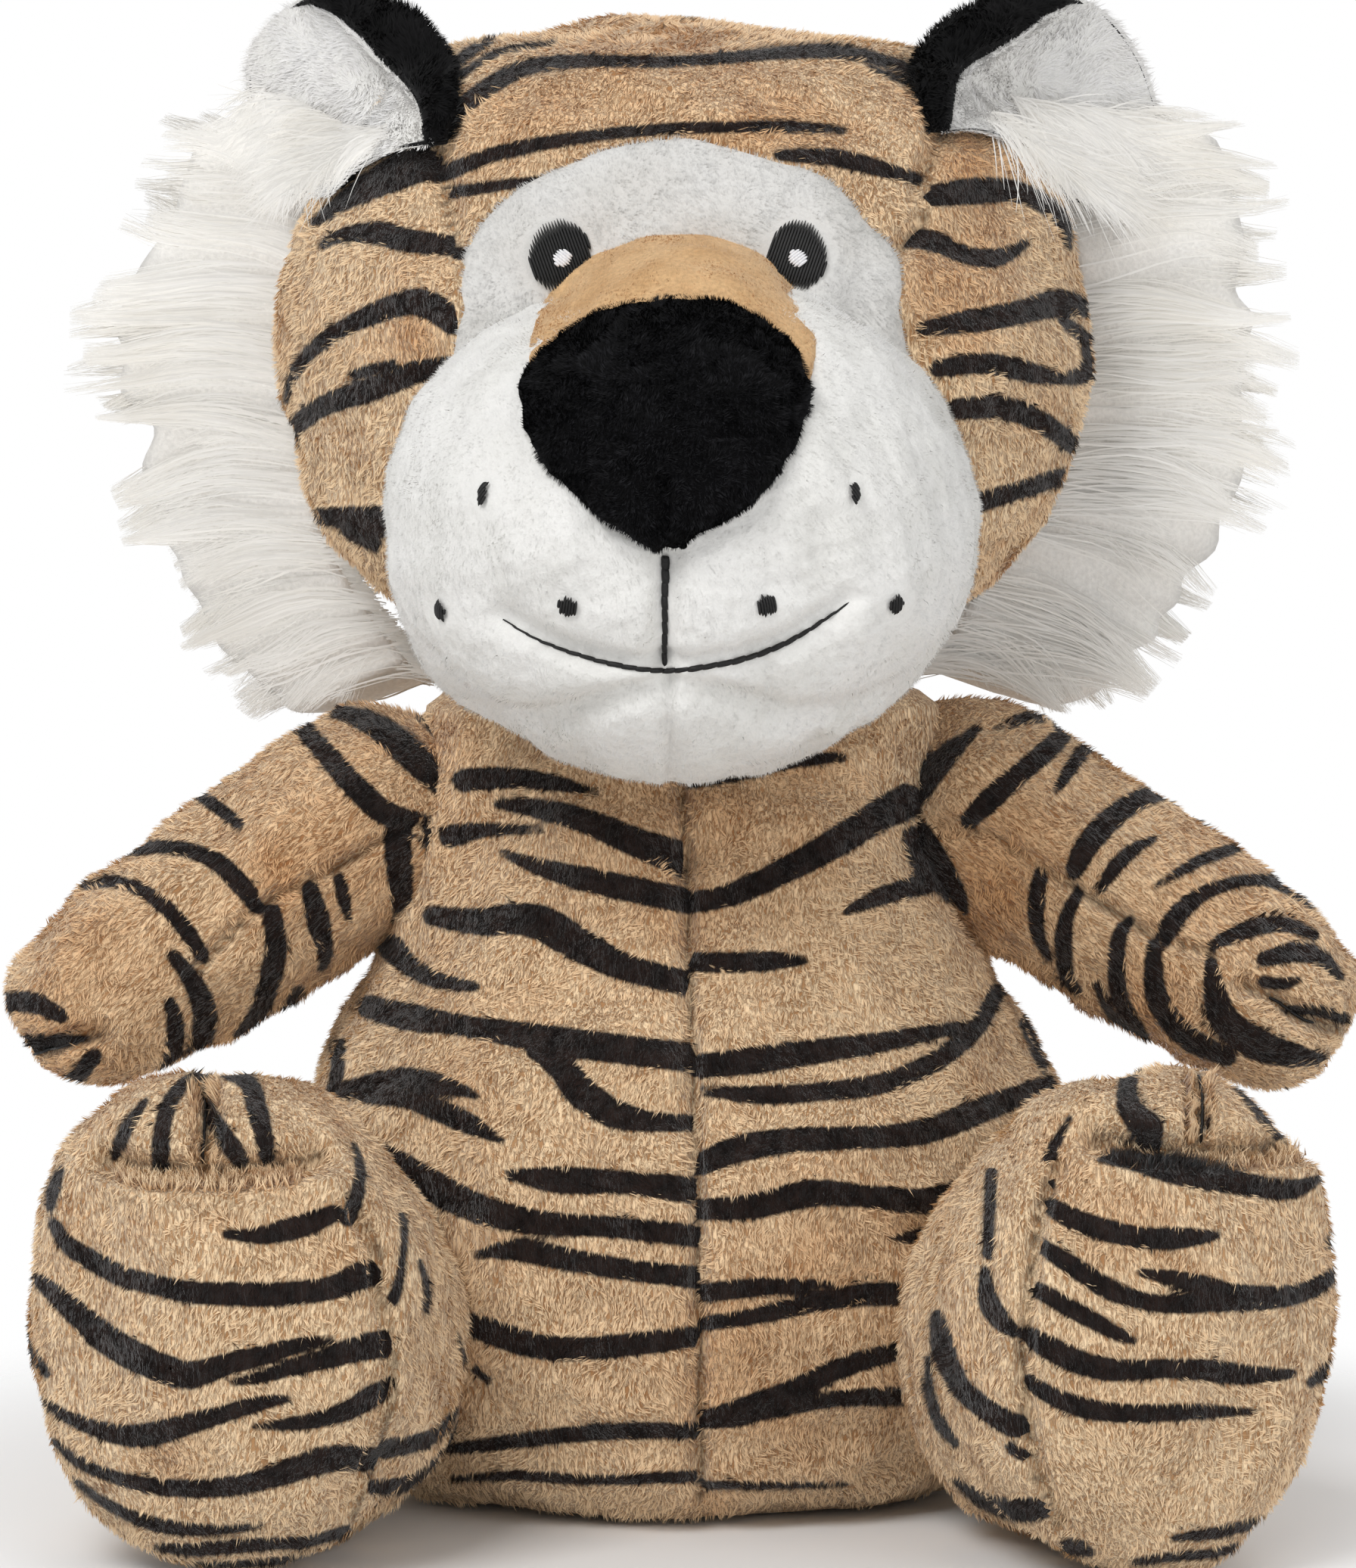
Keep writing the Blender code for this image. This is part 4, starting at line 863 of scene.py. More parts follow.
LEG_STRIPES = {
    -1: (
        ((192, 1455, 5), (168, 1490, 9), (152, 1525, 9)),
        ((278, 1416, 6), (243, 1432, 9), (221, 1465, 11), (213, 1505, 12), (212, 1540, 12)),
        ((272, 1442, 3), (278, 1471, 9), (295, 1500, 13), (318, 1533, 12)),
        ((295, 1419, 6), (328, 1431, 12), (339, 1462, 14), (347, 1496, 13), (353, 1529, 11)),
        ((468, 1512, 4), (476, 1545, 7), (472, 1580, 10), (460, 1610, 11)),
        ((516, 1567, 3), (530, 1600, 5), (535, 1633, 5), (532, 1667, 5), (526, 1700, 7), (520, 1717, 9)),
        ((555, 1667, 3), (564, 1700, 5), (562, 1733, 5)),
        ((80, 1546, 6), (70, 1575, 9), (66, 1596, 6)),
        ((70, 1617, 8), (91, 1646, 12), (124, 1667, 14), (166, 1688, 14), (208, 1698, 14), (253, 1708, 15),
         (312, 1710, 16), (374, 1710, 16), (437, 1702, 16), (470, 1688, 18), (499, 1679, 20)),
        ((41, 1683, 6), (66, 1704, 12), (99, 1733, 16), (137, 1767, 20), (178, 1792, 20), (220, 1810, 20),
         (253, 1817, 18), (303, 1802, 15), (353, 1790, 13), (395, 1777, 10), (439, 1769, 4)),
        ((310, 1827, 5), (353, 1817, 9), (395, 1804, 12), (437, 1794, 14), (478, 1781, 18), (520, 1775, 20)),
        ((58, 1850, 4), (87, 1871, 8), (120, 1885, 11), (158, 1896, 14), (195, 1896, 16), (237, 1885, 15),
         (287, 1871, 12), (337, 1856, 11), (380, 1848, 5)),
        ((335, 1885, 3), (374, 1883, 8), (416, 1877, 11), (458, 1865, 13), (491, 1846, 15), (520, 1831, 14)),
        ((70, 1904, 4), (103, 1931, 8), (145, 1950, 9), (195, 1963, 11), (245, 1967, 12), (295, 1965, 13),
         (337, 1958, 13), (378, 1946, 16), (420, 1931, 18), (462, 1927, 17), (499, 1929, 16)),
        ((508, 1915, 13), (545, 1908, 12), (578, 1894, 9), (603, 1863, 4)),
        ((493, 1965, 10), (528, 1963, 11), (562, 1946, 8), (591, 1913, 6), (612, 1871, 4), (618, 1838, 4),
         (614, 1796, 3), (603, 1763, 3)),
        ((99, 1956, 4), (128, 1979, 6), (166, 2000, 8), (208, 2015, 10), (253, 2021, 9), (303, 2021, 6),
         (347, 2015, 3)),
        ((208, 2044, 5), (253, 2048, 9), (303, 2044, 10), (353, 2040, 9), (403, 2038, 8), (445, 2027, 8),
         (470, 2025, 13), (512, 2017, 10), (553, 1992, 5)),
        ((253, 2067, 3), (312, 2067, 5), (374, 2062, 6), (416, 2058, 9), (441, 2050, 6)),
        ((33, 1735, 4), (38, 1770, 4), (48, 1795, 7), (62, 1815, 6)),
        ((299, 1631, 6), (337, 1633, 11), (374, 1627, 15), (412, 1615, 15), (441, 1604, 12)),
    ),
    1: (
        ((1494, 1418, 11), (1489, 1446, 14), (1498, 1472, 18), (1516, 1490, 21), (1520, 1508, 16)),
        ((1602, 1403, 5), (1627, 1423, 8), (1648, 1448, 8), (1668, 1473, 9), (1689, 1500, 8)),
        ((1587, 1469, 3), (1595, 1494, 3)),
        ((1456, 1532, 5), (1502, 1536, 12), (1543, 1546, 17), (1585, 1555, 17), (1627, 1561, 17), (1668, 1569, 15),
         (1710, 1571, 13), (1745, 1557, 5)),
        ((1481, 1511, 5), (1510, 1515, 5)),
        ((1414, 1478, 4), (1393, 1515, 8), (1385, 1544, 10), (1387, 1569, 8)),
        ((1389, 1594, 12), (1418, 1611, 15), (1460, 1625, 15), (1510, 1636, 15), (1564, 1636, 14), (1608, 1632, 6)),
        ((1362, 1636, 8), (1393, 1657, 12), (1431, 1682, 14), (1468, 1705, 14), (1510, 1719, 12), (1552, 1723, 13),
         (1593, 1719, 16), (1635, 1715, 18), (1677, 1715, 16), (1718, 1709, 13), (1752, 1692, 11), (1779, 1669, 5)),
        ((1508, 1682, 6), (1543, 1688, 10), (1585, 1696, 12), (1627, 1707, 12)),
        ((1327, 1678, 5), (1360, 1698, 10), (1397, 1719, 12), (1443, 1744, 12), (1477, 1763, 10), (1497, 1771, 5)),
        ((1302, 1682, 8), (1306, 1719, 14), (1322, 1744, 14), (1343, 1761, 8)),
        ((1310, 1548, 8), (1308, 1598, 8), (1306, 1657, 8)),
        ((1356, 1763, 12), (1389, 1782, 16), (1431, 1802, 16), (1477, 1811, 15), (1535, 1809, 13), (1593, 1811, 15),
         (1652, 1817, 13), (1708, 1815, 6)),
        ((1358, 1825, 10), (1389, 1844, 12), (1427, 1859, 14), (1477, 1867, 13), (1535, 1867, 12), (1593, 1865, 10),
         (1658, 1866, 4)),
        ((1239, 1740, 10), (1245, 1778, 16), (1256, 1807, 14), (1272, 1836, 14), (1302, 1861, 15), (1335, 1882, 16),
         (1360, 1886, 16)),
        ((1335, 1913, 8), (1360, 1928, 8)),
        ((1227, 1794, 4), (1229, 1840, 7), (1243, 1882, 9), (1262, 1907, 6)),
        ((1264, 1957, 5), (1298, 1982, 10), (1335, 1994, 14), (1368, 1994, 16), (1393, 1990, 12)),
        ((1348, 2032, 6), (1389, 2044, 9), (1423, 2044, 11), (1443, 2053, 5)),
        ((1550, 2032, 4), (1593, 2028, 8), (1635, 2019, 8), (1677, 2007, 7), (1706, 1994, 5)),
        ((1502, 2063, 5), (1552, 2057, 7), (1602, 2053, 7), (1648, 2040, 5)),
        ((1785, 1553, 8), (1781, 1586, 11), (1768, 1623, 9), (1756, 1644, 7)),
        ((1768, 1794, 6), (1752, 1811, 9), (1731, 1828, 6)),
        ((1783, 1807, 8), (1775, 1844, 6)),
        ((1760, 1911, 9), (1741, 1942, 6)),
    ),
}
PX = 0.1207  # millimetres to a pixel
FRONT_SIDE = 0.03  # how far cloth has to face the camera to take the photograph's print


def spine_strokes(seed, width, low, high, step):
    """Strokes of the hidden cloth: they start near the spine and taper towards each side."""
    draw = np.random.default_rng(seed)
    strokes = []
    for side in (-1, 1):
        z = low
        while z < high:
            start = draw.uniform(-2, 6)
            stop = draw.uniform(0.65, 1.05) * width
            rise, bend = draw.uniform(-5, 4), draw.uniform(-5, 3)
            thick = draw.uniform(1.4, 2.6)
            line = []
            for t in np.linspace(0, 1, 7):
                wobble = draw.uniform(-0.9, 0.9)
                taper = min(1.0, 0.35 + 3.2 * t) * min(1.0, 0.1 + 2.6 * (1 - t))
                line.append((side * (start + (stop - start) * t), z + rise * t + bend * math.sin(3 * t) + wobble,
                             thick * taper))
            strokes.append(line)
            if draw.random() < 0.45:
                at = draw.integers(2, 5)
                x0, z0, _ = line[at]
                strokes.append([(x0, z0, thick * 0.6), (x0 + side * 8, z0 - 3.4, thick * 0.7),
                                (x0 + side * 17, z0 - 5.0, 0.3)])
            z += draw.uniform(0.8, 1.25) * step
    return strokes


def stripe_field(p, n, front, seams, unwrapped, hidden):
    """Signed distance into the stripes: from the photograph in front, and of the same kind behind."""
    before = panelled_ink(to_photo(p), front, seams) if seams else ink(to_photo(p), front, PX)
    behind = ink(unwrapped, hidden, 1.0)
    return np.where(front_facing(p, n) > FRONT_SIDE, before, behind)


def torso_unwrapped(p):
    angle = np.arctan2(p[..., 0], p[..., 1])
    return np.stack((angle * 58.0, p[..., 2]), axis=-1)


def head_unwrapped(p):
    angle = np.arctan2(p[..., 0], p[..., 1])
    return np.stack((angle * 56.0, p[..., 2] + 0.25 * (48 - np.hypot(p[..., 0], p[..., 1]))), axis=-1)


def limb_unwrapped(p, place, way, radius):
    """Along a limb and round it, in millimetres."""
    rel = p - place
    way = np.asarray(way, float) / np.linalg.norm(way)
    along = rel @ way
    side = np.cross(way, (0, 0, 1.0))
    side /= np.linalg.norm(side)
    high = np.cross(side, way)
    angle = np.arctan2(rel @ high, rel @ side)
    return np.stack((angle * radius, along), axis=-1)


def band_strokes(seed, low, high, step, reach):
    """Bands round a limb, broken and tapered."""
    draw = np.random.default_rng(seed)
    strokes = []
    along = low
    while along < high:
        for _ in range(2):
            start = draw.uniform(-reach, reach)
            span = draw.uniform(0.4, 0.9) * reach
            thick = draw.uniform(1.1, 2.1)
            slope = draw.uniform(-0.12, 0.12)
            strokes.append([
                (start + span * t, along + slope * span * t + draw.uniform(-0.8, 0.8),
                 thick * min(1.0, 0.15 + 3 * t) * min(1.0, 0.15 + 3 * (1 - t)))
                for t in np.linspace(0, 1, 6)
            ])
        along += draw.uniform(0.8, 1.2) * step
    return strokes


# Torso
WORLD_DOWN = np.array((0.0, 0.0, -1.0))


def furred(label, nodes, p, front, unwrap, hidden, comb, count, seed, keep=None, warm=None,
           seams=(), creases=()):
    """A padded piece of striped cloth that stands for nodes, and its pile, parted along its creases."""
    length, lift, inset = 1.6, 0.45, 0.7
    n = grid_normals(p)
    p = p - n * inset
    p[..., 2] = np.maximum(p[..., 2], 0.3)

    def printed(at, normals):
        # Besides the print, these fields carry painted shade: warm patches at listed spots and darkening along the
        # creases.
        warm_shade_here = np.zeros(at.shape[:-1]) if warm is None else warm(at)
        return {"stripe": stripe_field(at, normals, front, seams, unwrap(at), hidden), "warm": warm_shade_here,
                "crease": creased(at, normals, creases)}

    skin = cloth(label + "_skin", p, tan_skin, **printed(p, n))
    keep = np.ones(p.shape[:-1]) if keep is None else keep
    keep = keep * (creased(p, n, creases) < 0.5)
    roots, normals = scatter(p, n, count, keep)
    way = comb(roots)
    give_nap(skin, way.mean(0))
    lie = unit_vectors(way - normals * (way * normals).sum(-1, keepdims=True))
    at_root, at_tip = printed(roots, normals), printed(roots + lie * 0.6 * length, normals)
    shown = {key: np.stack((at_root[key], at_root[key], at_tip[key]), axis=1) for key in at_root}
    fur = pile(label + "_pile", roots, normals, way, length, 0.29, lift, tan_pile, seed=seed, swirl=1.0,
               clump=0.9, tuft=1.5, relief=0.85, **shown)
    settle(skin, label, "tan_plush", *nodes)
    settle(fur, label, "tan_plush")


def creased(p, n, lines):
    """Share from 0 to 1 near creases, on what faces the camera."""
    return near_lines(p, lines) * (front_facing(p, n) > FRONT_SIDE)


def near_spots(p, spots):
    """Soft share from 0 to 1 near places of the photograph: x, y and radius in pixels."""
    px = to_photo(p)
    share = np.zeros(p.shape[:-1])
    for x, y, radius, most in spots:
        share = np.maximum(share, most * np.exp(-((px - (x, y)) ** 2).sum(-1) / radius**2))
    return share * (p[..., 1] < 10)


torso = torso_grid()
n = grid_normals(torso)
torso = uneven(torso, n, (0.7, 34.0, 5), (0.35, 14.0, 6))
FRONT_SEAM = ((897, 1000), (905, 1100), (912, 1300), (920, 1500), (924, 1700), (926, 1850), (926, 1980))
torso = back_seam(torso, n)
torso = carve(torso, n, (FRONT_SEAM,), 1.5, 20)
torso = carve(torso, n, (FRONT_SEAM,), 1.3, 6)
torso[..., 2] = np.maximum(torso[..., 2], 0.4)
torso[:12, :, 2] = 0.4
facing_up = np.ones(torso.shape[:2])
facing_up[:13] = 0.0
facing_up[-6:] = 0.0
hidden = spine_strokes(21, 86, 6, 126, 11.5)
furred("torso", ("torso_cover", "torso_filling", "seat_panel"), torso, TORSO_STRIPES, torso_unwrapped, hidden,
       lambda r: np.tile(WORLD_DOWN, (len(r), 1)), 150000, 3, keep=facing_up, seams=(FRONT_SEAM,),
       creases=((FRONT_SEAM, 4.5),),
       # Painted warm shade under the chin, low between the legs and by the left arm.
       warm=lambda r: near_spots(r, ((900, 1080, 210, 0.5), (1000, 1800, 200, 0.35), (620, 1080, 130, 0.3))))

# Head
head = head_grid()
n = grid_normals(head)
head = uneven(head, n, (0.6, 30.0, 8), (0.3, 12.0, 9))
head[..., 2] -= 2.6 * np.clip((head[..., 2] - 214) / 20, 0, 1) ** 1.5
SEAM_LEFT = ((556, 30), (562, 100), (565, 170), (580, 215), (590, 270), (605, 330))
SEAM_RIGHT = ((1238, 30), (1242, 100), (1245, 180), (1225, 230), (1222, 290), (1190, 330))
head = back_seam(head, n)
head = carve(head, n, (SEAM_LEFT, SEAM_RIGHT), 2.0, 14)
PATCH = np.array((
    (602, 440), (600, 345), (630, 300), (660, 260), (700, 235), (745, 215), (800, 195), (850, 183), (905, 180),
    (960, 186), (1010, 198), (1050, 208), (1100, 235), (1130, 270), (1150, 300), (1180, 320), (1195, 360),
    (1200, 440), (1215, 560), (1180, 700), (1080, 800), (905, 830), (720, 800), (620, 700), (590, 560),
), float)


def inside_patch(px):
    """How far photo points lie inside the white patch, in pixels, where negative is outside."""
    flat = px.reshape(-1, 2)
    outline = rounded(PATCH, 5)[::2]
    outline = np.vstack((outline, outline[:1]))
    d, _ = line_distance(flat, outline)
    a, b = outline[:-1], outline[1:]
    within = np.zeros(len(flat), bool)
    for (ax, ay), (bx, by) in zip(a, b):
        crosses = (ay > flat[:, 1]) != (by > flat[:, 1])
        at = ax + (flat[:, 1] - ay) * (bx - ax) / (by - ay if by != ay else 1e-9)
        within ^= crosses & (flat[:, 0] < at)
    return np.where(within, d, -d).reshape(px.shape[:-1])


n = grid_normals(head)
depth_in = np.where(front_facing(head, n) > 0, inside_patch(to_photo(head)), -99)
head = head - n * (np.clip(depth_in / 18, 0, 1) * 1.6)[..., None]
bare = (depth_in < 4).astype(float)
bare[:4] = 0
hidden = spine_strokes(31, 88, 138, 232, 12.0)


def head_comb(r):
    """The nap of the hood runs back from the face and down its sides."""
    return np.stack((0.35 * r[:, 0] / 64, 0.2 + 0 * r[:, 0], -1.0 + 0 * r[:, 0]), axis=1)


furred("head", ("head_cover", "head_filling"), head, HEAD_STRIPES, head_unwrapped, hidden, head_comb, 112000, 13,
       keep=bare, seams=(SEAM_LEFT, SEAM_RIGHT), creases=((SEAM_LEFT, 4.0), (SEAM_RIGHT, 4.0)),
       # Painted warm shade on the brow, beside the mane on both cheeks and below the right ear.
       warm=lambda r: near_spots(r, ((890, 130, 230, 0.35), (540, 450, 50, 0.5), (1250, 370, 70, 0.7),
                                     (1290, 215, 60, 0.7))))

# White face patch
centre = np.array((900.0, 480.0))
outline = rounded(PATCH, 5)
share = np.linspace(0.001, 1.0, 44)
px = centre + share[:, None, None] * (outline - centre)[None]
patch = from_photo(px, head_front)
n = viewer_normals(patch)
edge_round = 1.9 * np.sqrt(np.clip(1 - share**10, 0, 1)) - 1.2
patch = patch + n * (edge_round[:, None] + 0.35 * waves(patch, 16.0, 41))[..., None]
n = viewer_normals(patch)
patch_skin = settle(cloth("face_patch_skin", patch, patch_cloth_shaded), "head", "white_plush", "face_patch")
px = to_photo(patch)
off_eyes = np.minimum(*(np.hypot(px[..., 0] - x, px[..., 1] - 338) for x in (740, 1052)))
keep = (px[..., 1] < 620) * off_eyes > 50
roots, normals = scatter(patch, n, 20000, keep.astype(float))
away = roots - np.array((0, 0, 185.0))
away[:, 1] = 0
white_nap = pile("face_patch_pile", roots, normals, away + (0, 0, 4.0), 1.0, 0.18, 0.75, patch_pile_shaded, seed=43,
                 swirl=0.9, clump=0.3, relief=0.15)
settle(white_nap, "head", "white_plush")

# Muzzle
ring_angle = np.linspace(0.01, math.pi - 0.01, 200)
spread = np.sin(ring_angle) ** 0.92
angle = np.linspace(0, math.tau, 300, endpoint=False)
a, b = oval(angle, 2.15)
muzzle = np.stack((
    spread[:, None] * a * 45.0,
    np.repeat((-43.2 - 42.0 * np.cos(ring_angle))[:, None], 300, 1),
    156.0 + spread[:, None] * b * 38.0,
), axis=-1)


def clear_of_torso(p):
    """Draws the lower back of the muzzle clear of the shoulders, also while the head turns."""
    share = np.clip(p[..., 2] / TORSO_HIGH, 0, 0.955)
    size = on_curve(TORSO, share.ravel()).reshape(*share.shape, 3)
    angle = np.abs(np.arctan2(p[..., 0], -p[..., 1])) + math.radians(20)
    across, deep = size[..., 0] * TORSO_HALF + 1.8, size[..., 1] * TORSO_DEEP + 1.8
    room = ((np.abs(np.sin(angle)) / across) ** 2.15 + (np.abs(np.cos(angle)) / deep) ** 2.15) ** (-1 / 2.15)
    grow = np.maximum(room / np.maximum(np.hypot(p[..., 0], p[..., 1]), 1.0), 1.0) - 1.0
    grow *= np.clip((132.5 - p[..., 2]) / 1.5, 0, 1)
    return np.concatenate((p[..., :2] * (1 + grow)[..., None], p[..., 2:]), axis=-1)


MUZZLE_MIDDLE = np.array((0, -40.0, 156.0))
n = outward(muzzle, grid_normals(muzzle), MUZZLE_MIDDLE)
muzzle = uneven(muzzle, n, (0.5, 26.0, 51), (0.2, 10.0, 52), (0.1, 3.4, 53))
SMILE = ((665, 818), (704, 842), (760, 864), (820, 880), (878, 886), (950, 878), (1010, 862), (1060, 838), (1125, 795))
MOUTH = ((880, 735), (879, 800), (878, 885))
CHIN_CREASE = ((545, 905), (600, 935), (660, 955), (740, 950), (820, 925), (890, 915), (960, 925), (1040, 950),
               (1120, 945), (1195, 915), (1240, 880))
muzzle = swell(muzzle, n, ((640, 700, 130, 2.2), (1140, 700, 130, 2.2), (885, 975, 110, 2.4)))
muzzle = carve(muzzle, n, (SMILE,), 2.2, 18)
muzzle = carve(muzzle, n, (MOUTH,), 2.8, 20)
muzzle = carve(muzzle, n, (CHIN_CREASE,), 2.4, 20)
muzzle = carve(muzzle, n, (((885, 895), (884, 960), (887, 1032)),), 1.5, 10)
muzzle = clear_of_torso(muzzle)
n = outward(muzzle, grid_normals(muzzle), MUZZLE_MIDDLE)
muzzle_skin = settle(cloth("muzzle_skin", muzzle, white_skin), "head", "white_plush", "muzzle_cover",
                     "muzzle_filling", "chin_panel")
px = to_photo(muzzle)
outside = (muzzle[..., 2] < 133) | (muzzle[..., 1] < head_front(muzzle[..., 0], muzzle[..., 2]) + 2)
keep = (outside & (muzzle[..., 1] < -26)).astype(float)
for x, y, radius in ((641, 653, 26), (1127, 652, 26), (585, 807, 24), (1182, 798, 24), (751, 800, 26),
                     (1012, 800, 26)):
    keep[np.hypot(px[..., 0] - x, px[..., 1] - y) < radius] = 0
for line in (SMILE, MOUTH):
    d, _ = line_distance(px.reshape(-1, 2), smooth_line(line, 4))
    keep[(d < 13).reshape(keep.shape)] = 0
roots, normals = scatter(muzzle, n, 46000, keep)
out = roots - np.array((0, 0, 168.0))
out[:, 1] = 0
nap = pile("muzzle_pile", roots, normals, out + (0, 0, -6.0), 0.8, 0.17, 0.8, white_pile, seed=55, swirl=1.0,
           clump=0.6, tuft=1.0, relief=0.45)
settle(nap, "head", "white_plush")

# Nose bridge and nose
def outlined(outline, middle, under, over, rows, round_power, edge=0.0):
    """A raised panel over a closed outline in the plane of the face, which dips to what lies under it at its rim."""
    share = np.linspace(0.001, 1.0, rows)
    xz = middle + share[:, None, None] * (outline - middle)[None]
    low, high = under(xz[..., 0], xz[..., 1]) + edge, over(xz[..., 0], xz[..., 1])
    y = low + (high - low) * np.sqrt(np.clip(1 - share**round_power, 0, 1))[:, None]
    return np.stack((xz[..., 0], y, xz[..., 1]), axis=-1)


def soft_front(a, b, width=3.0):
    """The front of two forms together, with a soft valley between them."""
    gap = np.clip(0.5 + 0.5 * (a - b) / width, 0, 1)
    return a + (b - a) * gap - width * gap * (1 - gap)


def ground_front(x, z):
    """What lies behind the bridge and the nose: the muzzle, or the face above it."""
    return soft_front(muzzle_front(x, z), head_front(x, z))


def bridge_over(x, z):
    return soft_front(bridge_front(x, z), ground_front(x, z), 5.0) - 2.6


BRIDGE = np.array((
    (691, 500), (694, 470), (700, 440), (708, 416), (720, 395), (738, 372), (760, 355), (780, 342), (800, 330),
    (850, 314), (905, 306), (960, 313), (1010, 335), (1032, 348), (1050, 365), (1064, 386), (1072, 410),
    (1079, 455), (1082, 500), (1040, 560), (980, 600), (890, 620), (790, 600), (730, 560),
), float)
rim = from_photo(rounded(BRIDGE, 6), bridge_over)[:, (0, 2)]
bridge = outlined(rim, np.array((0.0, 177.0)), ground_front, bridge_over, 56, 9, 0.5)
BRIDGE_MIDDLE = np.array((0, -45.0, 172.0))
n = outward(bridge, grid_normals(bridge), BRIDGE_MIDDLE)
bridge = uneven(bridge, n, (0.2, 12.0, 61))
settle(cloth("nose_bridge_skin", bridge, smooth_tan), "head", "smooth_tan", "nose_bridge")
roots, normals = scatter(bridge, n, 20000)
nap = pile("nose_bridge_nap", roots, normals, np.tile((0.0, -0.2, 1.0), (len(roots), 1)), 0.6, 0.16, 0.5,
           smooth_tan_pile, seed=63, swirl=1.0)
settle(nap, "head", "smooth_tan")

NOSE = np.array((
    (905, 388), (955, 397), (1000, 412), (1040, 443), (1065, 480), (1076, 512), (1073, 552), (1060, 584),
    (1040, 614), (1020, 640), (990, 666), (950, 696), (915, 718), (882, 740), (858, 724), (820, 704), (770, 671),
    (735, 640), (705, 602), (688, 562), (682, 520), (690, 488), (715, 459), (750, 430), (800, 405), (850, 396),
), float)


def nose_under(x, z):
    return soft_front(bridge_over(x, z), ground_front(x, z), 1.0)


def nose_over(x, z):
    return soft_front(nose_front(x, z) - 0.5, nose_under(x, z) - 2.2, 2.5)


rim = from_photo(rounded(NOSE, 7), nose_under)[:, (0, 2)]
nose = outlined(rim, np.array((0.0, 176.0)), nose_under, nose_over, 60, 7, 1.2)
n = outward(nose, grid_normals(nose), np.array((0, -50.0, 173.0)))
nose = uneven(nose, n, (0.25, 12.0, 71), (0.1, 4.0, 72))
nose = carve(nose, n, (((880, 640), (880, 690), (881, 745)),), 1.3, 9)
settle(cloth("nose_skin", nose, black_knit), "head", "black_knit", "nose")
roots, normals = scatter(nose, n, 24000)
fuzz = pile("nose_fuzz", roots, normals, np.tile((0.2, -0.2, -1.0), (len(roots), 1)), 1.05, 0.2, 0.75,
            black_lint, seed=73, swirl=2.0, clump=0.5, tuft=1.0, relief=0.9)
settle(fuzz, "head", "black_knit")


# Embroidery
def threads(name, paths, widths, finish, sides=6):
    """Round threads along paths of points, each as wide as its numbers say."""
    points, faces, first = [], [], 0
    ring_at = np.linspace(0, math.tau, sides, endpoint=False)
    for path, wide in zip(paths, widths):
        path = np.asarray(path, float)
        way = unit_vectors(np.gradient(path, axis=0))
        spare = np.where(np.abs(way[:, 1:2]) < 0.8, np.array((0, 1.0, 0)), np.array((1.0, 0, 0)))
        side = unit_vectors(np.cross(way, spare))
        other = np.cross(side, way)
        half = np.broadcast_to(np.asarray(wide, float), (len(path),))[:, None, None] / 2
        ring = path[:, None] + half * (np.cos(ring_at)[None, :, None] * side[:, None]
                                       + np.sin(ring_at)[None, :, None] * other[:, None])
        points.append(ring.reshape(-1, 3))
        faces.append(grid_faces(len(path), sides) + first)
        first += len(path) * sides
    return new_mesh(name, np.vstack(points), np.vstack(faces), finish)


def tapered(count, wide):
    t = np.linspace(0, 1, count)
    return wide * np.sqrt(np.clip(1 - (2 * t - 1) ** 4, 0.02, 1))


def stitched(name, path, out, pitch, wide, finish, proud=0.3, slant=0.12):
    """A row of short overlapping stitches along a path on a surface."""
    path = np.asarray(path, float)
    run = np.concatenate(((0,), np.cumsum(np.linalg.norm(np.diff(path, axis=0), axis=1))))
    paths, widths = [], []
    for k in range(int(run[-1] / pitch)):
        t = np.linspace(k * pitch - 0.25 * pitch, (k + 1.2) * pitch, 7)
        p = np.stack([np.interp(t, run, path[:, j]) for j in range(3)], axis=1)
        o = unit_vectors(np.stack([np.interp(t, run, out[:, j]) for j in range(3)], axis=1))
        arch = np.sin(np.linspace(0, math.pi, 7))[:, None]
        side = np.cross(o, unit_vectors(np.gradient(p, axis=0)))
        lean = np.linspace(-1, 1, 7)[:, None] * slant * (1 if k % 2 else 0.6)
        share = (k + 0.5) * pitch / run[-1]
        here = wide if np.isscalar(wide) else np.interp(share, np.linspace(0, 1, len(wide)), wide)
        paths.append(p + o * (proud + 0.25 * arch * here) + side * lean)
        widths.append(tapered(7, here * rng.uniform(0.9, 1.1)))
    return threads(name, paths, widths, finish, 8)


def skin_at(px, grid, normals):
    """Places on a finished surface that lie under photo pixels, with their normals."""
    flat, out = grid.reshape(-1, 3), normals.reshape(-1, 3)
    seen = front_facing(flat, out) > 0.05
    flat, out = flat[seen], out[seen]
    at = to_photo(flat)
    places, ways = [], []
    for x, y in np.atleast_2d(px):
        d2 = ((at - (x, y)) ** 2).sum(-1)
        near = np.argsort(d2)[:6]
        weight = 1 / (d2[near] + 4)
        offset = (flat[near] * weight[:, None]).sum(0) / weight.sum()
        miss = (np.array((x, y)) - to_photo(offset)) * PX
        places.append(offset + (miss[0], 0, -miss[1]))
        ways.append((out[near] * weight[:, None]).sum(0))
    return np.array(places), unit_vectors(np.array(ways))


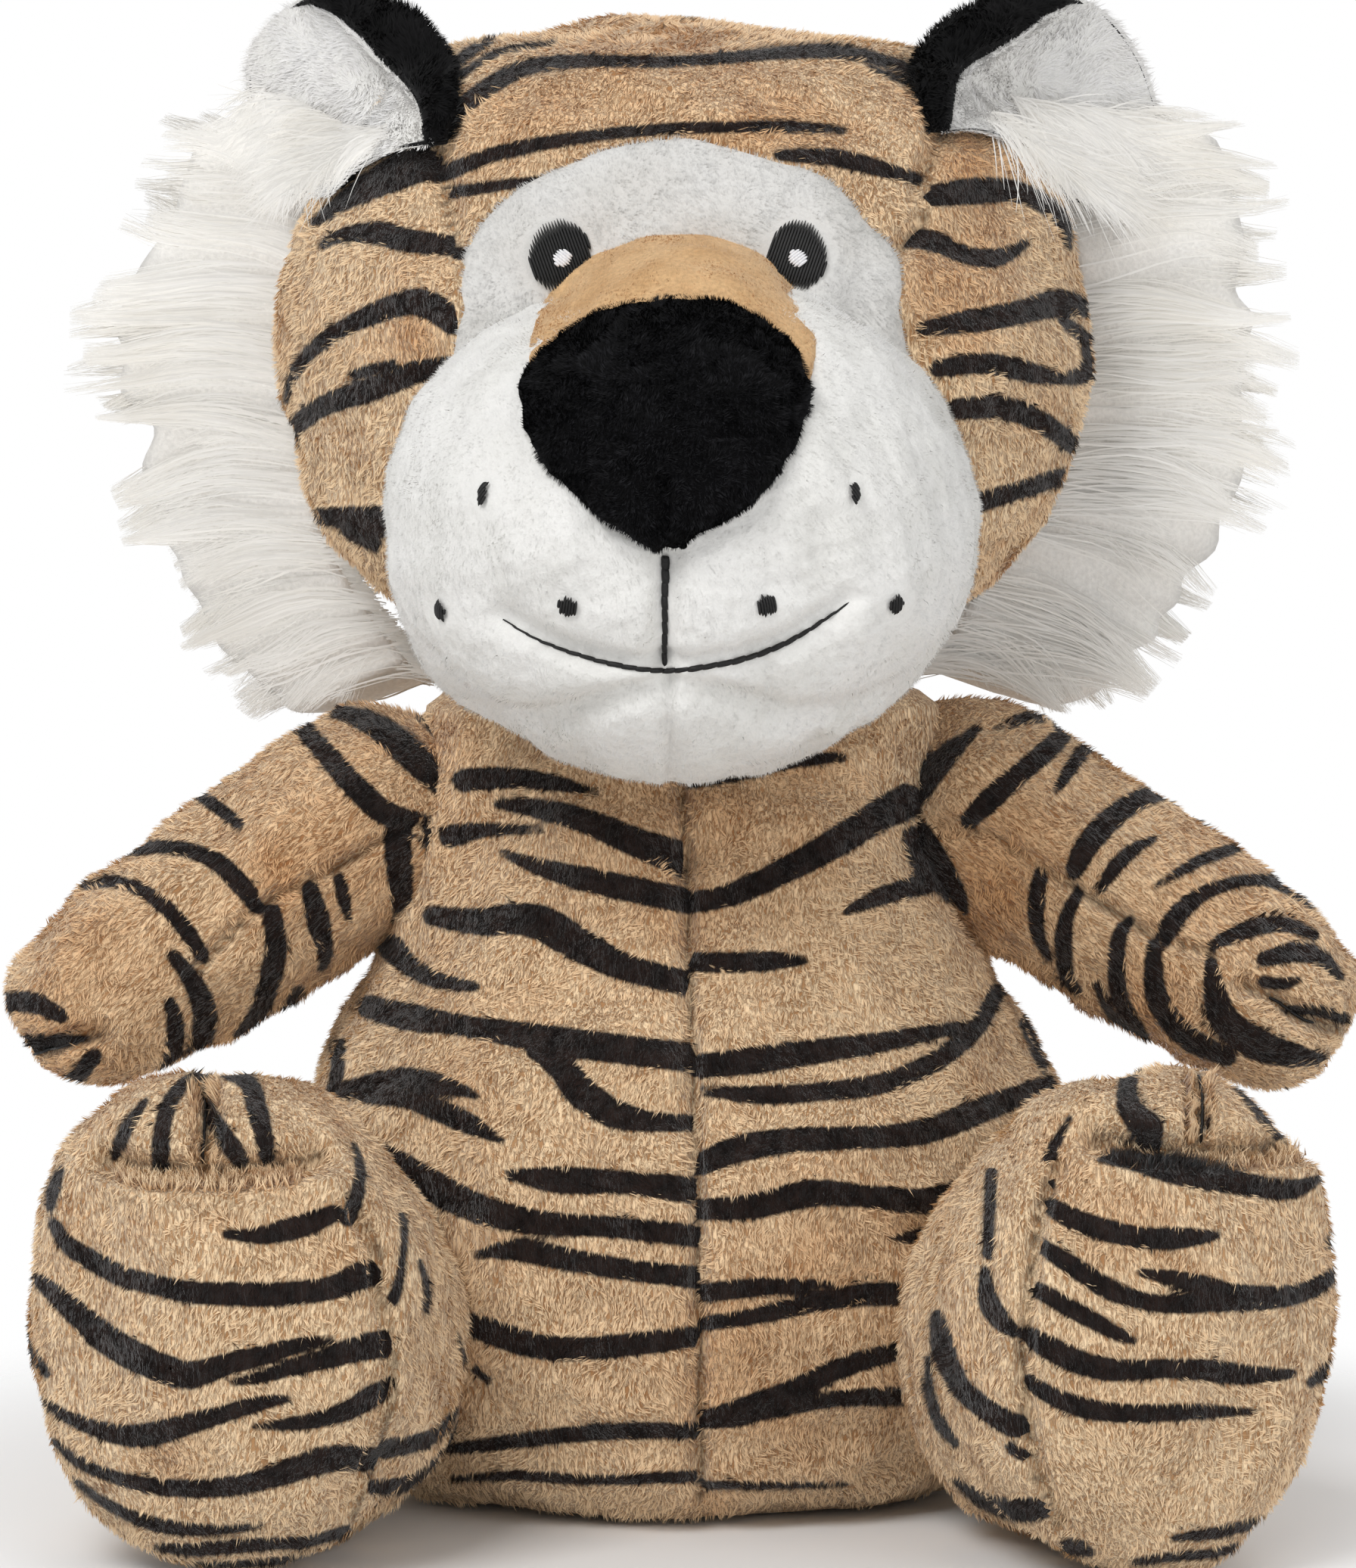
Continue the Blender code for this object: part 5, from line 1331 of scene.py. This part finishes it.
def embroidered_oval(name, px, half_x, half_y, grid, normals, lift, turn, pitch, wide, finish, jag=0.25, dome=0.5):
    """Close parallel threads that fill an oval, with a slightly uneven edge."""
    places, ways = skin_at((px,), grid, normals)
    place, out = places[0], ways[0]
    across = unit_vectors(np.cross((0, 0, 1.0), out) * -1)
    upward = np.cross(out, across)
    upward *= np.sign(upward[2])
    paths, widths = [], []
    c, s_ = math.cos(turn), math.sin(turn)
    reach = max(half_x, half_y)
    for at in np.arange(-reach, reach + pitch / 2, pitch):
        span = np.linspace(-reach, reach, 240)
        u, v = at * c - span * s_, at * s_ + span * c
        within = (u / half_x) ** 2 + (v / half_y) ** 2 < 1
        if within.sum() < 3:
            continue
        ends = span[within][[0, -1]] + rng.uniform(-jag, jag, 2)
        t = np.linspace(ends[0], ends[1], 9)
        u, v = at * c - t * s_, at * s_ + t * c
        high = dome * np.sqrt(np.clip(1.05 - (u / half_x) ** 2 - (v / half_y) ** 2, 0, 1))
        paths.append(place + u[:, None] * across + v[:, None] * upward + (lift + high)[:, None] * out)
        widths.append(tapered(9, wide))
    return threads(name, paths, widths, finish, 6)


patch_n = viewer_normals(patch)
muzzle_n = outward(muzzle, grid_normals(muzzle), MUZZLE_MIDDLE)
for side, word, eye, glint in ((-1, "left", (740, 338), (744, 342)), (1, "right", (1052, 338), (1054, 343))):
    base = embroidered_oval("eye_" + word + "_threads", eye, 4.75, 5.6, patch, patch_n, 0.35, side * 0.35,
                            0.46, 0.5, black_thread, jag=0.18)
    settle(base, "head", "black_thread", "eye_" + word)
    spot = embroidered_oval("highlight_" + word + "_threads", glint, 1.5, 1.4, patch, patch_n, 1.0, side * 0.9,
                            0.4, 0.44, white_thread, jag=0.15, dome=0.25)
    settle(spot, "head", "white_thread", "highlight_" + word)

DOTS = (
    ("upper_left", (641, 653), 0.95, 1.75, 0.5), ("upper_right", (1127, 652), 0.95, 1.7, -0.55),
    ("lower_outer_left", (585, 807), 1.2, 1.6, 0.1), ("lower_outer_right", (1182, 798), 1.2, 1.6, -0.1),
    ("lower_inner_left", (751, 800), 1.6, 1.6, 0.2), ("lower_inner_right", (1012, 800), 1.6, 1.6, -0.2),
)
for word, px, half_x, half_y, turn in DOTS:
    knot = embroidered_oval("whisker_dot_" + word + "_threads", px, half_x, half_y, muzzle, muzzle_n, 0.35,
                            turn, 0.42, 0.5, black_thread, jag=0.35, dome=0.45)
    settle(knot, "head", "black_thread", "whisker_dot_" + word)

path, out = skin_at(smooth_line(MOUTH, 5), muzzle, muzzle_n)
line = stitched("mouth_seam_stitches", path, out, 2.0, (1.25, 1.1, 0.9, 0.85, 0.85), black_thread, proud=0.0)
settle(line, "head", "black_thread", "mouth_seam")
path, out = skin_at(smooth_line(SMILE, 4), muzzle, muzzle_n)
line = stitched("smile_stitches", path, out, 2.2, (0.22, 0.4, 0.6, 0.8, 0.85, 0.85, 0.9, 0.85, 0.6, 0.25),
                black_thread, proud=0.0)
settle(line, "head", "black_thread", "smile_stitch")


# Ears
# Outlines as read off: photo x and y, and how far the black band reaches in from the edge, in pixels
EAR = {
    -1: ((574, 190, 8), (590, 150, 24), (588, 100, 50), (567, 58, 58), (532, 20, 56), (482, -2, 40), (432, -6, 16),
         (390, 12, 0), (356, 46, -5), (338, 90, -5), (338, 140, -5), (348, 195, -5), (385, 245, -3), (440, 252, 0),
         (480, 218, 0), (525, 198, 2)),
    1: ((1243, 175, 6), (1226, 122, 24), (1223, 85, 42), (1245, 50, 54), (1280, 22, 54), (1322, 2, 46), (1370, -7, 26),
        (1420, 2, 4), (1462, 30, -5), (1494, 75, -5), (1512, 120, -5), (1522, 175, -5), (1490, 235, -5),
        (1430, 265, -2), (1385, 225, 0), (1345, 190, 0), (1290, 172, 2)),
}
EAR_CENTRE = {-1: (458.0, 112.0), 1: (1378.0, 112.0)}
BAND = ((1.0, 0.7), (0.78, 2.1), (0.42, 2.8), (0.12, 2.1))
RIM = ((-6.0, 0.2), (-7.0, -1.6), (5.0, -3.6))
BACK = ((0.3, -5.2), (0.6, -6.4), (0.85, -6.9), (0.995, -7.0))


def ear_leaf(x, z):
    """Depth of an ear: it runs back as it goes outwards, and lies on the head where the two meet."""
    leaf = -12.0 - (47.0 - np.abs(x)) * 0.9
    share = np.clip((z - HEAD_LOW) / HEAD_HIGH, 0.031, 1.0)
    half = on_curve(HEAD, np.ravel(share)).reshape(*np.shape(share), 2)[..., 0] * HEAD_HALF
    near = np.clip((1.07 - np.abs(x) / half) / 0.12, 0, 1)
    return leaf + near * np.minimum(0, head_front(x, z) - 3.2 - leaf)


def ear_forms(side):
    """Grids of an ear's lining and of its black back, which rolls forward over the inner edge."""
    table = smooth_line(EAR[side] + EAR[side][:1], 6)[:-1]
    rim, band = table[:, :2], table[:, 2]
    centre = np.array(EAR_CENTRE[side])
    out = unit_vectors(rim - centre)
    facing = np.array((0.9 * side, -1.0, 0.0)) / math.hypot(0.9, 1.0)
    share = np.linspace(1.0, 0.002, 30)[:, None]
    inner = rim - out * np.maximum(band - 9, -4)[:, None]
    px = centre + share[..., None] * (inner - centre)
    rolled = np.clip(band / 30, 0, 1)
    high = 0.4 - 2.4 * (1 - share**2) + 1.6 * rolled * np.exp(-(((share - 0.86) / 0.09) ** 2))
    lining = from_photo(px, ear_leaf) + high[..., None] * facing
    over = np.clip(band / 20, -1, 1)
    rows = [(rim - out * (band * part)[:, None], high * np.clip(band / 20, 0, 1)) for part, high in BAND]
    rows += [(rim + out * (-far * over)[:, None], high + 0 * band) for far, high in RIM]
    rows += [(rim + (centre - rim) * part, high + 0 * band) for part, high in BACK]
    px = np.stack([row[0] for row in rows])
    high = np.stack([row[1] for row in rows])
    back = from_photo(px, ear_leaf) + high[..., None] * facing
    back = smooth_line(back.reshape(len(rows), -1), 3).reshape(-1, len(rim), 3)
    black = np.ones(back.shape[:2])
    black[:24] = np.roll(band, -1) > 8
    return lining, back, black, facing


for side, word in ((-1, "left"), (1, "right")):
    lining, back, black, facing = ear_forms(side)
    n = grid_normals(lining)
    n *= np.sign((n * facing).sum(-1, keepdims=True))
    lining = uneven(lining, n, (0.15, 12.0, 131))
    settle(cloth("ear_lining_" + word + "_skin", lining, white_skin), "head", "white_plush", "ear_lining_" + word)
    middle = lining[-1].mean(0)
    roots, normals = scatter(lining, n, 12000)
    comb = unit_vectors(roots - middle) + (side * 0.7, 0, 0.1)
    fluff = pile("ear_lining_" + word + "_pile", roots, normals, comb, 1.6, 0.24, 0.45, ear_pile_lightened,
                 seed=133 + side, swirl=0.8, clump=0.2)
    settle(fluff, "head", "white_plush")
    n = outward(back, grid_normals(back), middle - facing * 2.5)
    settle(cloth("ear_back_" + word + "_skin", back, black_skin), "head", "black_plush", "ear_back_" + word)
    roots, normals = scatter(back, n, 9000, black)
    comb = unit_vectors(roots - middle) + (0, 0, 0.3)
    fluff = pile("ear_back_" + word + "_pile", roots, normals, comb, 1.9, 0.34, 0.7, black_pile, seed=137 + side,
                 swirl=1.2)
    settle(fluff, "head", "black_plush")


# Mane
def ribbons(name, paths, widths, ways, finish):
    """Long fibres as thin tapered ribbons: paths has a row of points for each fibre."""
    count, steps = paths.shape[:2]
    along = np.gradient(paths, axis=1)
    flat = np.cross(ways, along)[:, steps // 2]
    behind = paths[:, 0, 1] > MANE_DEPTH + 1
    turned_away = (flat[:, 1] > 0) != behind
    ways = np.where(turned_away[:, None, None], -ways, ways)
    half = ways * (widths / 2)[..., None]
    points = np.stack((paths - half, paths + half), axis=2).reshape(-1, 3)
    flat = unit_vectors(np.where(turned_away[:, None], -flat, flat))
    radial = unit_vectors(paths[:, -1] - (0, 10, 170)) * (0.3, 0, 0.3)
    before = np.where(behind, 0.75, -0.75)[:, None] * (0, 1, 0)
    soft = unit_vectors(0.12 * flat + radial + before + (0, 0, 0.2))
    first = (np.arange(count) * steps * 2)[:, None] + np.arange(steps - 1)[None] * 2
    faces = np.stack((first, first + 1, first + 3, first + 2), axis=-1).reshape(-1, 4)
    made = new_mesh(name, points, faces, finish)
    along = np.tile(np.repeat(np.linspace(0, 1, steps), 2), count)
    give(made, tip=along, tone=np.repeat(rng.random(count), steps * 2))
    made.data.normals_split_custom_set_from_vertices(np.repeat(soft, steps * 2, axis=0).tolist())
    high = 0.15 + 0.7 * np.arange(steps) / (steps - 1)
    local = [((0.15, a), (0.85, a), (0.85, b), (0.15, b)) for a, b in zip(high, high[1:])]
    return cells(made, count, np.array(local).reshape(-1, 2))


def fibres(name, roots, tips, bend, wide, finish, steps=6, curl=None):
    """Long fibres that bow from their roots to their tips, and may sway by a curl of their own."""
    count = len(roots)
    t = np.linspace(0, 1, steps)[None, :, None]
    middle = (roots + tips) / 2 + bend + rng.normal(0, 0.6, (count, 3))
    paths = (1 - t) ** 2 * roots[:, None] + 2 * t * (1 - t) * middle[:, None] + t**2 * tips[:, None]
    if curl is not None:
        paths += (t**0.8) * np.sin(curl[:, None, :1] + 6.5 * t) * curl[:, None, 1:]
    way = unit_vectors(tips - roots)
    side_way = unit_vectors(np.cross(way, (0, 1.0, 0)))
    roll = rng.uniform(-1.1, 1.1, (count, 1))
    edge = side_way * np.cos(roll) + np.cross(side_way, way) * np.sin(roll)
    widths = rng.uniform(0.75, 1.3, (count, 1)) * wide * np.clip(1.15 - t[..., 0] ** 2, 0.15, 1)
    return ribbons(name, paths, widths, np.repeat(edge[:, None], steps, 1), finish)


# Read off: where the fur leaves the head, and where it ends, both in photo pixels
MANE = {
    -1: ((500, 205, 300, 152), (455, 240, 238, 160), (425, 285, 190, 222), (400, 335, 180, 292), (385, 390, 108, 385),
         (378, 450, 98, 450), (378, 510, 104, 515), (384, 570, 150, 560), (392, 625, 132, 632), (402, 680, 158, 690),
         (420, 735, 185, 750), (445, 780, 215, 815), (470, 820, 240, 868), (500, 860, 300, 915), (530, 895, 362, 958),
         (560, 920, 440, 945)),
    1: ((1330, 165, 1535, 150), (1365, 195, 1640, 168), (1395, 235, 1690, 210), (1412, 280, 1692, 262),
        (1428, 330, 1690, 315), (1438, 385, 1690, 380), (1442, 440, 1706, 425), (1442, 490, 1702, 492),
        (1436, 545, 1690, 560), (1424, 600, 1696, 640), (1405, 650, 1674, 695), (1378, 695, 1640, 770),
        (1340, 735, 1600, 830), (1305, 775, 1560, 875), (1280, 825, 1500, 935), (1262, 870, 1430, 955),
        (1235, 905, 1340, 925)),
}
MANE_DEPTH = 18.0
HEAD_CENTRE = np.array((890.0, 480.0))


def mane_lines(side, share):
    """Root and edge of the mane in photo pixels, for shares from its upper to its lower end."""
    rows = np.array(MANE[side], float)
    at = on_curve(np.column_stack((np.linspace(0, 1, len(rows)), rows)), share)
    root, edge = at[:, :2], at[:, 2:]
    return root + unit_vectors(HEAD_CENTRE - root) * 30, edge


def mane_body(side):
    """The dense wool at the middle of the mane: a flat lens of fur that thins towards its edge."""
    share = np.linspace(0, 1, 90)
    root, edge = mane_lines(side, share)
    out = np.concatenate((np.linspace(0, 1, 16), np.linspace(1, 0, 16)[1:-1]))
    front = np.concatenate((-np.ones(16), np.ones(14)))
    front[[0, 15]] = 0
    ends = np.clip(np.minimum(share, 1 - share) / 0.08, 0.05, 1) ** 0.5
    ridges = 0.5 * waves(np.column_stack((share * 120, 0 * share)), 9.0, 171 + side)
    reach = (0.80 + 0.03 * ridges)[:, None] * out[None]
    px = root[:, None] + (edge - root)[:, None] * reach[..., None]
    thick = front * (1.0 + 7.0 * (1 - out) ** 0.7)
    y = MANE_DEPTH + ends[:, None] * thick[None] * (1 + 0.12 * ridges[:, None])
    return from_photo(px, lambda x, z: y)


def mane_fibres(side, count, low, high, close, lock_count):
    """Roots and tips of fibres that gather into locks towards the edge of the mane."""
    share = rng.random(count)
    lock = np.sort(rng.random(lock_count))
    own = np.abs(share[:, None] - lock).argmin(1)
    tight = rng.uniform(*close, lock_count)[own]
    reach = rng.uniform(low, high, lock_count)[own] * (1 - 0.22 * rng.random(count) ** 2)
    depth = rng.uniform(-7, 7, lock_count)[own] * 0.7 + rng.normal(0, 2.2, count)
    ends = np.clip(share + (lock[own] - share) * tight + rng.normal(0, 0.003, count), 0, 1)
    root, _ = mane_lines(side, share)
    low_root, edge = mane_lines(side, ends)
    root = root + rng.normal(0, 6, (count, 2))
    tip = low_root + (edge - low_root) * reach[:, None]
    y = MANE_DEPTH + np.clip(depth * 0.9 + rng.normal(0, 2.5, count), -9, 9)
    roots = from_photo(root, lambda x, z: y)
    tips = from_photo(tip, lambda x, z: MANE_DEPTH + 1.2 * depth)
    size = rng.uniform(0.5, 1.5, lock_count)[own] * rng.uniform(0.8, 1.2, count)
    way = unit_vectors(tips - roots)
    across = np.stack((-way[:, 2], 0.5 * rng.choice((-1.0, 1.0), lock_count)[own], way[:, 0]), axis=1)
    phase = rng.uniform(0, math.tau, lock_count)[own] + rng.normal(0, 0.25, count)
    return roots, tips, np.column_stack((phase, across * size[:, None]))


for side, word in ((-1, "left"), (1, "right")):
    body = mane_body(side)
    settle(cloth("mane_" + word + "_wool", body, fur_under), "head", "long_white_fur", "mane_" + word)
    layers = (
        (3600, 0.60, 0.86, (0.0, 0.3), 60),
        (5600, 0.80, 1.02, (0.45, 0.85) if side < 0 else (0.6, 0.92), 30 if side < 0 else 26),
        (1800, 0.90, 1.07, (0.75, 0.95), 22),
    )
    ends = [mane_fibres(side, int(count * max(DENSITY, 0.7)), *rest) for count, *rest in layers]
    roots, tips, sway = (np.concatenate([part[k] for part in ends]) for k in range(3))
    way = unit_vectors(tips - roots)
    droop = np.clip(0.85 - way[:, 2:], 0.1, 1.3) * rng.uniform(0.6, 1.5, (len(roots), 1))
    curl = 1.6 * waves(tips, 14.0, 181 + side)[:, None]
    bend = np.concatenate((side * 1.5 * droop, 0 * droop, 4.2 * droop + curl), axis=1)
    fur = settle(fibres("mane_" + word + "_fur", roots, tips, bend, 0.26, fur_white, 8, curl=sway), "head",
                 "long_white_fur")
    fur.visible_shadow = False

    # fluff that spills out of the ear over the top of the mane
    count = int(2600 * max(DENSITY, 0.7))
    q, r = rng.random((2, count, 1))
    along_edge = rng.random((count, 1)) < 0.45
    if side < 0:
        start = np.where(along_edge, np.array((395, 246)) + q * (130, -66) + r * (-8, -16),
                         np.array((352, 110)) + q * (105, 50) + r * (0, 70))
        stop = start + (-40, 34) + q * (-50, 6) + rng.normal(0, 20, (count, 2))
    else:
        start = np.where(along_edge, np.array((1300, 160)) + q * (130, 96) + r * (8, -16),
                         np.array((1330, 125)) + q * (120, 20) + r * (30, 50))
        stop = start + (70, 70) + q * (40, -25) + rng.normal(0, 24, (count, 2))
    roots = from_photo(start, lambda x, z: ear_leaf(x, z) + 1.0)
    tips = from_photo(stop, lambda x, z: np.minimum(ear_leaf(x, z) - 3.0, 14.0))
    bend = np.array((side * 1.0, -1.5, 1.6)) * rng.uniform(0.3, 1.3, (count, 1))
    fur = settle(fibres("ear_fluff_" + word, roots, tips, bend, 0.22, fur_white), "head", "long_white_fur")
    fur.visible_shadow = False

# Limbs
def brushed_tufts(name, leg, n, side, tuck, fold):
    """Longer pile that the tuck and the fold over the toes brush up."""
    tuck, fold = smooth_line(tuck, 8), smooth_line(fold, 8)
    count, on_tuck = 2600, 1900
    at = rng.random(count)

    def on_line(line, share):
        keys = np.linspace(0, 1, len(line))
        return np.stack([np.interp(share, keys, line[:, k]) for k in (0, 1)], axis=1)

    low = on_line(tuck, 0.08 + 0.78 * at[:on_tuck])
    low += rng.normal(0, 1, low.shape) * (4, 6) + (0, 17)
    up = on_line(fold, at[on_tuck:])
    beside = rng.choice((-1.0, 1.0), len(up))
    up += rng.normal(0, 1, up.shape) * (4, 4) + np.stack((beside * 12, 0 * beside), axis=1)
    roots, normals = skin_at(np.vstack((low, up)), leg, n)
    comb = np.tile((0.0, -0.3, 1.0), (len(roots), 1)) + rng.normal(0, 0.35, (len(roots), 3))
    comb[on_tuck:, 0] += 1.4 * beside
    stripe = ink(to_photo(roots), LEG_STRIPES[side], PX)
    none = np.zeros(len(roots))
    return pile(name, roots, normals, comb, 2.3, 0.26, 0.75, tan_pile, swirl=1.0, clump=0.75, tuft=1.7, seed=151 + side,
                stripe=stripe, warm=none, crease=none)


for side, word in ((-1, "left"), (1, "right")):
    arm = place_arm(arm_grid(side), side)
    n = limb_normals(arm)
    arm = uneven(arm, n, (0.5, 22.0, 80 + side), (0.2, 9.0, 84 + side))
    if side < 0:
        seams = (((595, 1080), (550, 1090), (450, 1145), (390, 1175), (330, 1210), (250, 1300)),)
        notch = ((18, 1402), (50, 1392), (90, 1380), (132, 1369))
    else:
        seams = (((1245, 1095), (1300, 1100), (1380, 1150), (1440, 1185), (1520, 1235), (1600, 1260)),)
        notch = ((1650, 1305), (1685, 1322), (1720, 1345), (1770, 1360))
    arm = carve(arm, n, seams, 1.7, 9)
    arm = carve(arm, n, (notch,), 3.4, 15)
    way = turned(np.array((side, 0, 0.0)), 0, -side * math.radians(12), side * math.radians(31.5))
    place = SHOULDER * (side, 1, 1)
    hidden = band_strokes(91 + side, 2, 66, 9.5, 58)
    n = limb_normals(arm)
    furred("arm_" + word, ("arm_cover_" + word, "arm_filling_" + word), arm, ARM_STRIPES[side],
           lambda r: limb_unwrapped(r, place, way, ARM_RADIUS), hidden,
           lambda r: np.tile(way + (0, 0, -0.25), (len(r), 1)), 32000, 17 + side,
           creases=((seams[0], 3.5), (notch, 7.0)),
           # Painted warm shade: a little over the whole arm, more near the shoulders and on the upper arm.
           warm=lambda r: 0.12 + near_spots(r, ((440, 1130, 120, 0.5), (150, 1260, 90, 0.35),
                                                (1330, 1130, 110, 0.65), (1600, 1200, 120, 0.35))))
    n = limb_normals(arm)
    path, out = skin_at(smooth_line(notch, 5)[4:-3], arm, n)
    line = stitched("paw_stitch_" + word + "_threads", path, out, 2.4, 0.5, black_thread, proud=-0.3)
    settle(line, "arm_" + word, "black_thread", "paw_stitch_" + word)

    leg = leg_grid(side)
    n = limb_normals(leg)
    leg = uneven(leg, n, (0.6, 28.0, 100 + side), (0.25, 11.0, 104 + side))
    if side < 0:
        tuck = ((135, 1530), (190, 1541), (250, 1545), (320, 1544), (380, 1536), (430, 1524))
        fold = ((270, 1430), (272, 1480), (268, 1538))
        panel = ((475, 1600), (500, 1650), (505, 1700), (520, 1760), (522, 1840), (505, 1900), (490, 1950), (465, 2010))
    else:
        tuck = ((1450, 1500), (1500, 1514), (1570, 1520), (1640, 1518), (1700, 1512), (1750, 1502))
        fold = ((1585, 1420), (1588, 1460), (1586, 1512))
        panel = ((1395, 1540), (1375, 1590), (1360, 1690), (1350, 1790), (1352, 1850), (1360, 1900), (1365, 1940),
                 (1385, 1985), (1400, 2020))
    leg = carve(leg, n, (tuck,), 5.4, 17)
    leg = carve(leg, n, (fold,), 4.0, 13)
    leg = carve(leg, n, (panel,), 2.6, 8)
    lip = [(x, y + 34) for x, y in tuck]
    leg = carve(leg, n, (lip,), -1.3, 20)
    off_panel = ((2000, panel[0][1] - 2), *panel) if side < 0 else ((-400, panel[0][1] - 2), *panel)
    leg[..., 2] = np.maximum(leg[..., 2], 0.4)
    away = np.array((side * math.sin(SPLAY), -math.cos(SPLAY), 0))
    place_leg = HIP * (side, 1, 1)
    hidden = band_strokes(111 + side, 0, 52, 10.5, 95)
    off_floor = (leg[..., 2] > 0.6).astype(float)
    furred("leg_" + word, ("leg_cover_" + word, "leg_filling_" + word), leg, LEG_STRIPES[side],
           lambda r: limb_unwrapped(r, place_leg, away, 31.0), hidden,
           lambda r: np.tile(WORLD_DOWN + 0.15 * away, (len(r), 1)), 54000, 27 + side, keep=off_floor,
           seams=(off_panel,), creases=((panel, 3.5), (tuck, 5.0), (fold, 4.0)))
    n = limb_normals(leg)
    brushed = brushed_tufts("leg_" + word + "_brushed", leg, n, side, tuck, fold)
    settle(brushed, "leg_" + word, "tan_plush")
    path, out = skin_at(smooth_line(fold, 6), leg, n)
    line = stitched("toe_stitch_" + word + "_threads", path, out, 2.4, 0.5, black_thread, proud=-0.3)
    settle(line, "leg_" + word, "black_thread", "toe_stitch_" + word)

# Tail
share, root = np.linspace(0, 1, 60), np.linspace(-0.98, -0.06, 8)
along = np.concatenate((root * TAIL_RADIUS, share * TAIL_LONG))
tip_round = np.sqrt(np.clip(1 - np.clip((share - 0.86) / 0.14, 0, 1) ** 2, 0.0004, 1))
radius = TAIL_RADIUS * np.concatenate((0.92 * np.sqrt(1 - root**2), (0.92 + 0.16 * share) * tip_round))
way = np.array((0, math.cos(TAIL_DROOP), -math.sin(TAIL_DROOP)))
centre = TAIL_ROOT + along[:, None] * way
tail = loft(radius, radius, centre, (1, 0, 0), np.cross((1, 0, 0), way), 44, 2.0)
n = limb_normals(tail)
tail = uneven(tail, n, (0.3, 14.0, 121))
rings = [[(-30 + 10 * k, at + 0.5 * math.sin(k * 1.7 + at), 2.2) for k in range(7)] for at in (12, 24, 36, 47)]
furred("tail", ("tail",), tail, (), lambda r: limb_unwrapped(r, TAIL_ROOT, way, TAIL_RADIUS), rings,
       lambda r: np.tile(way, (len(r), 1)), 13000, 37)

# Studio
FLOOR_HALF, FLOOR_FADE, WORLD_LIGHT = 3.0, (0.095, 0.17), 0.40
floor_mesh = bpy.data.meshes.new("floor")
square = [(x * FLOOR_HALF, y * FLOOR_HALF, 0) for x, y in ((-1, -1), (1, -1), (1, 1), (-1, 1))]
floor_mesh.from_pydata(square, [], [(0, 1, 2, 3)])
floor = bpy.data.objects.new("floor", floor_mesh)
bpy.context.collection.objects.link(floor)
m = Nodes("floor")
m.finish((0.93, 0.93, 0.93, 1.0), 0.9)
clear = m.tree.nodes.new("ShaderNodeBsdfTransparent")
distance = m.tree.nodes.new("ShaderNodeVectorMath")
distance.operation = "LENGTH"
m.put(distance.inputs[0], m.coords)
fade = m.math("MULTIPLY", m.ramp(distance.outputs["Value"], *FLOOR_FADE), seen_rays(m.tree))
joined = m.tree.nodes.new("ShaderNodeMixShader")
m.put(joined.inputs[0], fade)
m.put(joined.inputs[1], m.shader.outputs[0])
m.put(joined.inputs[2], clear.outputs[0])
m.put(m.out.inputs["Surface"], joined.outputs[0])
floor_mesh.materials.append(m.made)

world = bpy.data.worlds.new("studio")
bpy.context.scene.world = world
world.use_nodes = True
w = world.node_tree
w.nodes.clear()
strength = w.nodes.new("ShaderNodeMapRange")
w.links.new(seen_rays(w), strength.inputs[0])
strength.inputs[3].default_value = WORLD_LIGHT
strength.inputs[4].default_value = 1.0
ground = w.nodes.new("ShaderNodeBackground")
ground.inputs["Color"].default_value = (1, 1, 1, 1)
w.links.new(strength.outputs[0], ground.inputs["Strength"])
world_out = w.nodes.new("ShaderNodeOutputWorld")
w.links.new(ground.outputs[0], world_out.inputs["Surface"])


def look(made, target):
    made.rotation_euler = (Vector(target) - made.location).to_track_quat("-Z", "Y").to_euler()


def lamp(name, place, size, power):
    """A square soft lamp that points at the toy."""
    light = bpy.data.lights.new(name, "AREA")
    light.size, light.energy = size, power
    made = bpy.data.objects.new(name, light)
    made.location = place
    bpy.context.collection.objects.link(made)
    look(made, (0, 0, 0.12))


for name, place, size, power in (
    ("key", (-0.62, -1.00, 1.22), 0.7, 13.0),
    ("fill", (0.95, -0.95, 0.55), 0.9, 3.6),
    ("rim", (0.3, 1.1, 0.9), 0.8, 5.0),
):
    lamp(name, place, size, power)

camera_data = bpy.data.cameras.new("camera")
camera_data.sensor_fit = "HORIZONTAL"
camera_data.sensor_width = 36.0
camera_data.lens = FOCAL / PHOTO_WIDE * camera_data.sensor_width
camera = bpy.data.objects.new("camera", camera_data)
camera.location = EYE * MM
bpy.context.collection.objects.link(camera)
look(camera, AIM * MM)
bpy.context.scene.camera = camera
bpy.context.scene.view_settings.view_transform = "Standard"
